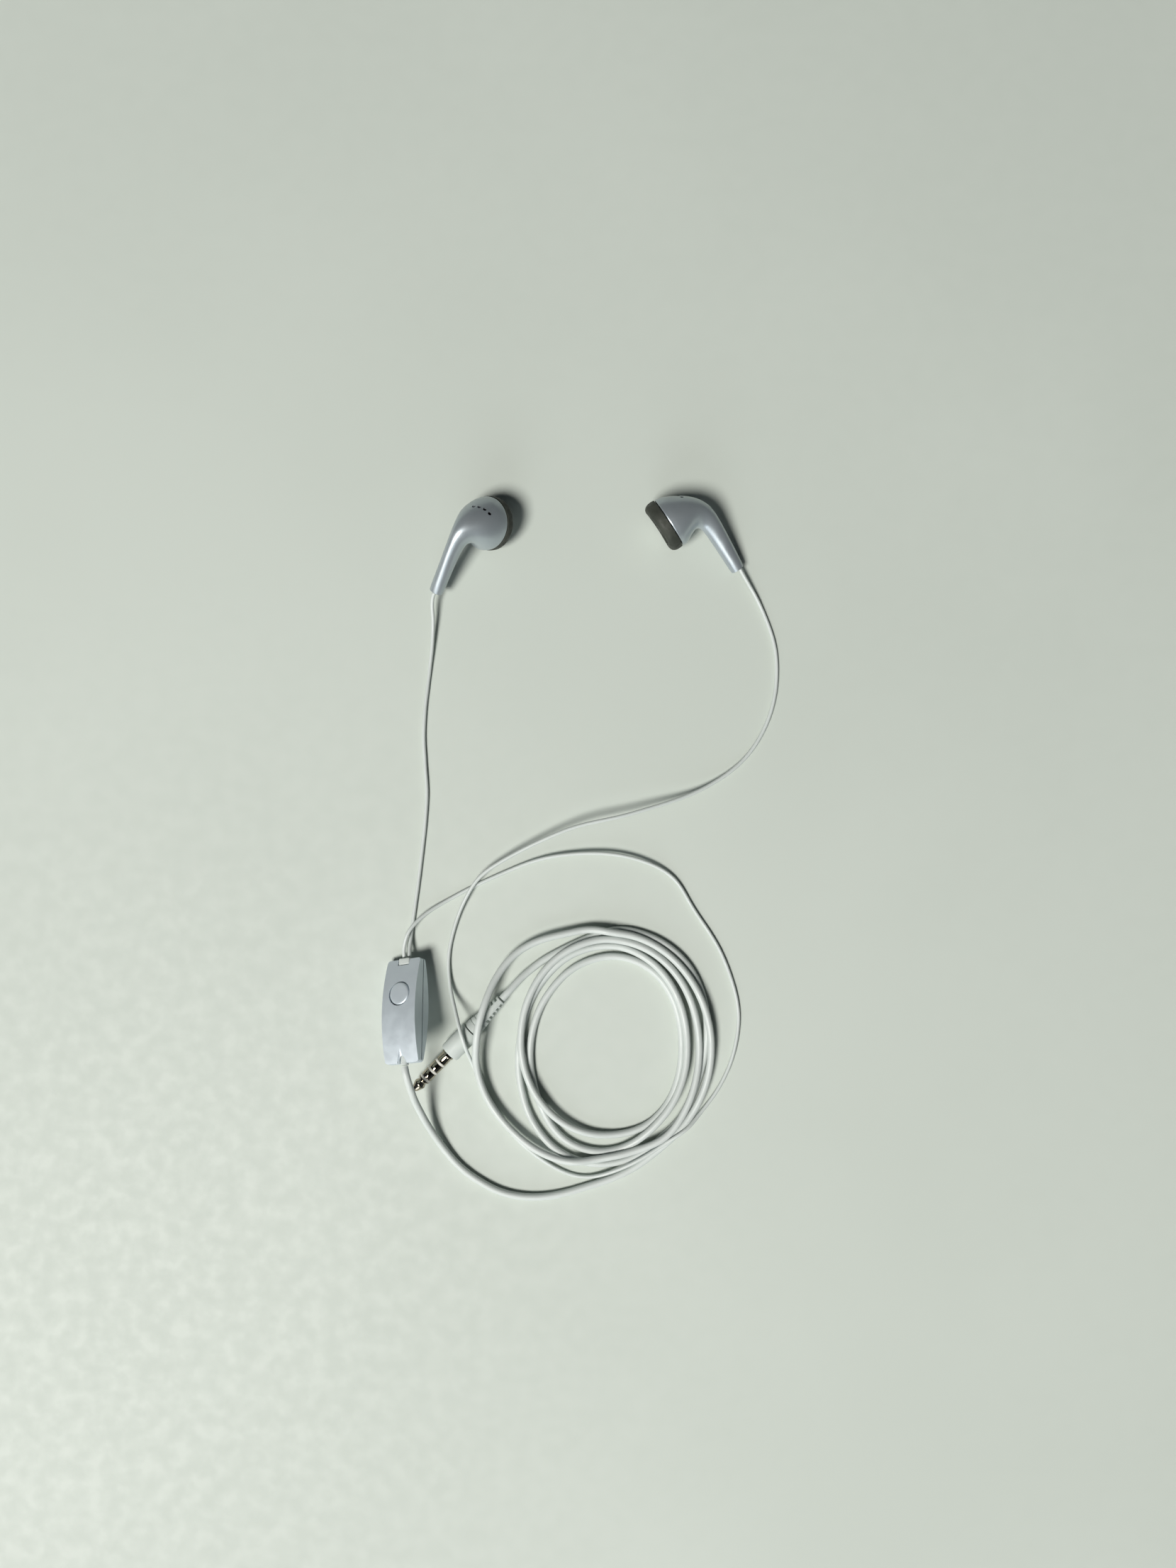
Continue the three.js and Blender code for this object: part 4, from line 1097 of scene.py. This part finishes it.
def relief_depth(rib, angle):
    """How deep a groove is at an angle: the first ones are shallow rings, the others a slot on each side."""
    if rib < RING_GROOVES:
        return RING_GROOVE_DEPTH
    side = (abs(math.cos(angle)) - SLOT_SIDE) / SLOT_SLOPE
    return SLOT_DEPTH * min(1.0, max(0.0, side))


def relief(place):
    """The tapering strain relief: a plain collar, shallow rings, then slots with a spine between them."""
    pitch = (RELIEF_LENGTH - RELIEF_PLAIN) / RELIEF_RIBS
    levels = [(0.0, 0, None), (0.15, 0, 0.0)]
    for rib in range(RELIEF_RIBS):
        start = RELIEF_PLAIN + rib * pitch
        width = RING_GROOVE_WIDTH if rib < RING_GROOVES else pitch / 2
        end = start + width
        levels += [(start - GROOVE_EDGE, rib, 0.0), (start, rib, GROOVE_RIM)]
        levels += [(start + GROOVE_SIDE, rib, 1.0), (end - GROOVE_SIDE, rib, 1.0)]
        levels += [(end, rib, GROOVE_RIM), (end + GROOVE_EDGE, rib, 0.0)]
    levels += [(RELIEF_LENGTH - RELIEF_EDGE, 0, 0.0), (RELIEF_LENGTH, 0, None)]
    rings = []
    for z, rib, share in levels:
        radius = RELIEF_RADII[0] + (RELIEF_RADII[1] - RELIEF_RADII[0]) * z / RELIEF_LENGTH
        ring = []
        for i in range(RELIEF_SIDES):
            angle = 2 * math.pi * i / RELIEF_SIDES
            depth = RELIEF_EDGE if share is None else share * relief_depth(rib, angle)
            ring.append(((radius - depth) * math.cos(angle), (radius - depth) * math.sin(angle), z))
        rings.append(ring)
    body = loft("plug_relief", rings)
    return put(body, place @ Matrix.Translation((0, 0, RELIEF_START)), MOULDING, "moulding",
               "plug_strain_relief")


def make_plug():
    """Makes the four-pole plug and returns its pieces."""
    place = plug_place()
    made = []
    nose = turned("tip_contact", [
        (0, 0), (0.4, 0.03), (0.75, 0.15), (1.0, 0.5), (1.2, 0.95), (1.45, 1.6), (1.68, 2.2), (1.73, 2.45),
        (1.72, 2.7), (1.55, 3.0), (1.32, 3.38), (1.28, 3.55), (1.32, 3.72), (1.6, 4.02), (1.74, 4.18),
        (PIN_RADIUS, 4.25), (PIN_RADIUS, contact_end(0)), (0, contact_end(0)),
    ])
    made.append(put(nose, place, CONTACT, "contact", "plug_tip"))
    for number, node in enumerate(("plug_first_ring", "plug_second_ring")):
        ring = tube("ring_contact_" + str(number + 1), CONTACT_BORE, PIN_RADIUS,
                    contact_start(number), contact_end(number + 1), 0.04)
        made.append(put(ring, place, CONTACT, "contact", node))
    start = contact_start(2)
    sleeve = turned("sleeve_contact", [
        (CONTACT_BORE, start), (1.71, start), (PIN_RADIUS, start + 0.04), (PIN_RADIUS, 13.9), (1.8, 14.0),
        (1.92, 14.02), (1.97, 14.08), (1.97, COLLAR_END - FINE_GAP), (SLEEVE_NECK, COLLAR_END - FINE_GAP),
        (SLEEVE_NECK, COLLAR_END + 3), (CONTACT_BORE, COLLAR_END + 3), (CONTACT_BORE, start),
    ])
    made.append(put(sleeve, place, CONTACT, "contact", "plug_sleeve"))
    for number, middle in enumerate(INSULATOR_CENTRES):
        ring = tube("insulating_ring_" + str(number + 1), CONTACT_BORE, PIN_RADIUS - 0.02,
                    middle - INSULATOR_HALF, middle + INSULATOR_HALF, 0.03)
        made.append(put(ring, place, INSULATOR, "insulator", "plug_insulator_" + str(number + 1)))
    grip = turned("plug_grip", [
        (GRIP_MOUTH, COLLAR_END), (2.84, COLLAR_END), (2.96, COLLAR_END + 0.04),
        (GRIP_RADIUS, COLLAR_END + 0.3), (GRIP_RADIUS, MOULDING_END - 0.15), (3.05, MOULDING_END - 0.04),
        (2.95, MOULDING_END), (1.0, MOULDING_END), (1.0, COLLAR_END + 3.3), (1.7, COLLAR_END + 3.3),
        (1.7, COLLAR_END + 0.3), (GRIP_MOUTH, COLLAR_END + 0.3), (GRIP_MOUTH, COLLAR_END),
    ], 128)
    made.append(put(grip, place, MOULDING, "moulding", "plug_moulding"))
    made.append(relief(place))
    recolour("plug_core", STEEL)
    return made


# ---------------- floor and light


FLOOR_HALF = 1.5
FLOOR_DROP = 0.00002  # below the object, so that no faces coincide


def make_floor():
    """A plain pale table."""
    look = Look("table", (0.55, 0.60, 0.55), 0.6)
    look.tint(look.noise(8, 3), (0.565, 0.615, 0.565))
    look.set_gloss(0.55, 0.7, 200)
    build = bmesh.new()
    bmesh.ops.create_grid(build, x_segments=2, y_segments=2, size=FLOOR_HALF)
    floor = mesh_object("floor", build)
    if floor.data.polygons[0].normal.z < 0:
        floor.data.flip_normals()
    floor.location = (0, 0, -FLOOR_DROP)
    floor.data.materials.append(look.material)


KEY_OFFSET = (-1.08, -1.08, 2.45)
KEY_SIZE = 1.05
KEY_POWER = 92
NEAR_LAMP_OFFSET = (-0.6, -2.4, 1.1)
NEAR_LAMP_SIZE = 1.6
NEAR_LAMP_POWER = 16
SIDES_COLOUR = (0.36, 0.41, 0.46, 1)
OVERHEAD_COLOUR = (0.05, 0.055, 0.06, 1)
SURROUNDINGS_STRENGTH = 0.15


def lamp(offset, size, power, colour):
    """A round, soft lamp that shines on the middle of the table."""
    data = bpy.data.lights.new("lamp", "AREA")
    data.shape = "DISK"
    data.size = size
    data.energy = power
    data.color = colour
    piece = bpy.data.objects.new("lamp", data)
    piece.location = offset
    piece.rotation_mode = "QUATERNION"
    piece.rotation_quaternion = (-Vector(offset)).to_track_quat("-Z", "Y")
    bpy.context.scene.collection.objects.link(piece)


def make_light():
    """A soft lamp from the near left, a dim one low in front, and surroundings darkest overhead."""
    lamp(KEY_OFFSET, KEY_SIZE, KEY_POWER, (1.0, 0.98, 0.94))
    lamp(NEAR_LAMP_OFFSET, NEAR_LAMP_SIZE, NEAR_LAMP_POWER, (0.9, 0.96, 1.0))
    world = bpy.data.worlds.new("surroundings")
    world.use_nodes = True
    nodes, links = world.node_tree.nodes, world.node_tree.links
    split = nodes.new("ShaderNodeSeparateXYZ")
    links.new(nodes.new("ShaderNodeTexCoord").outputs["Generated"], split.inputs["Vector"])
    ramp = nodes.new("ShaderNodeValToRGB")
    ramp.color_ramp.elements[0].position = 0.45
    ramp.color_ramp.elements[0].color = SIDES_COLOUR
    ramp.color_ramp.elements[1].position = 0.93
    ramp.color_ramp.elements[1].color = OVERHEAD_COLOUR
    links.new(split.outputs["Z"], ramp.inputs["Fac"])
    links.new(ramp.outputs["Color"], nodes["Background"].inputs["Color"])
    nodes["Background"].inputs["Strength"].default_value = SURROUNDINGS_STRENGTH
    bpy.context.scene.world = world
    bpy.context.scene.view_settings.view_transform = "Standard"


make_floor()
make_light()
make_cords(make_plug())
make_bud("left")
make_bud("right")
make_remote()
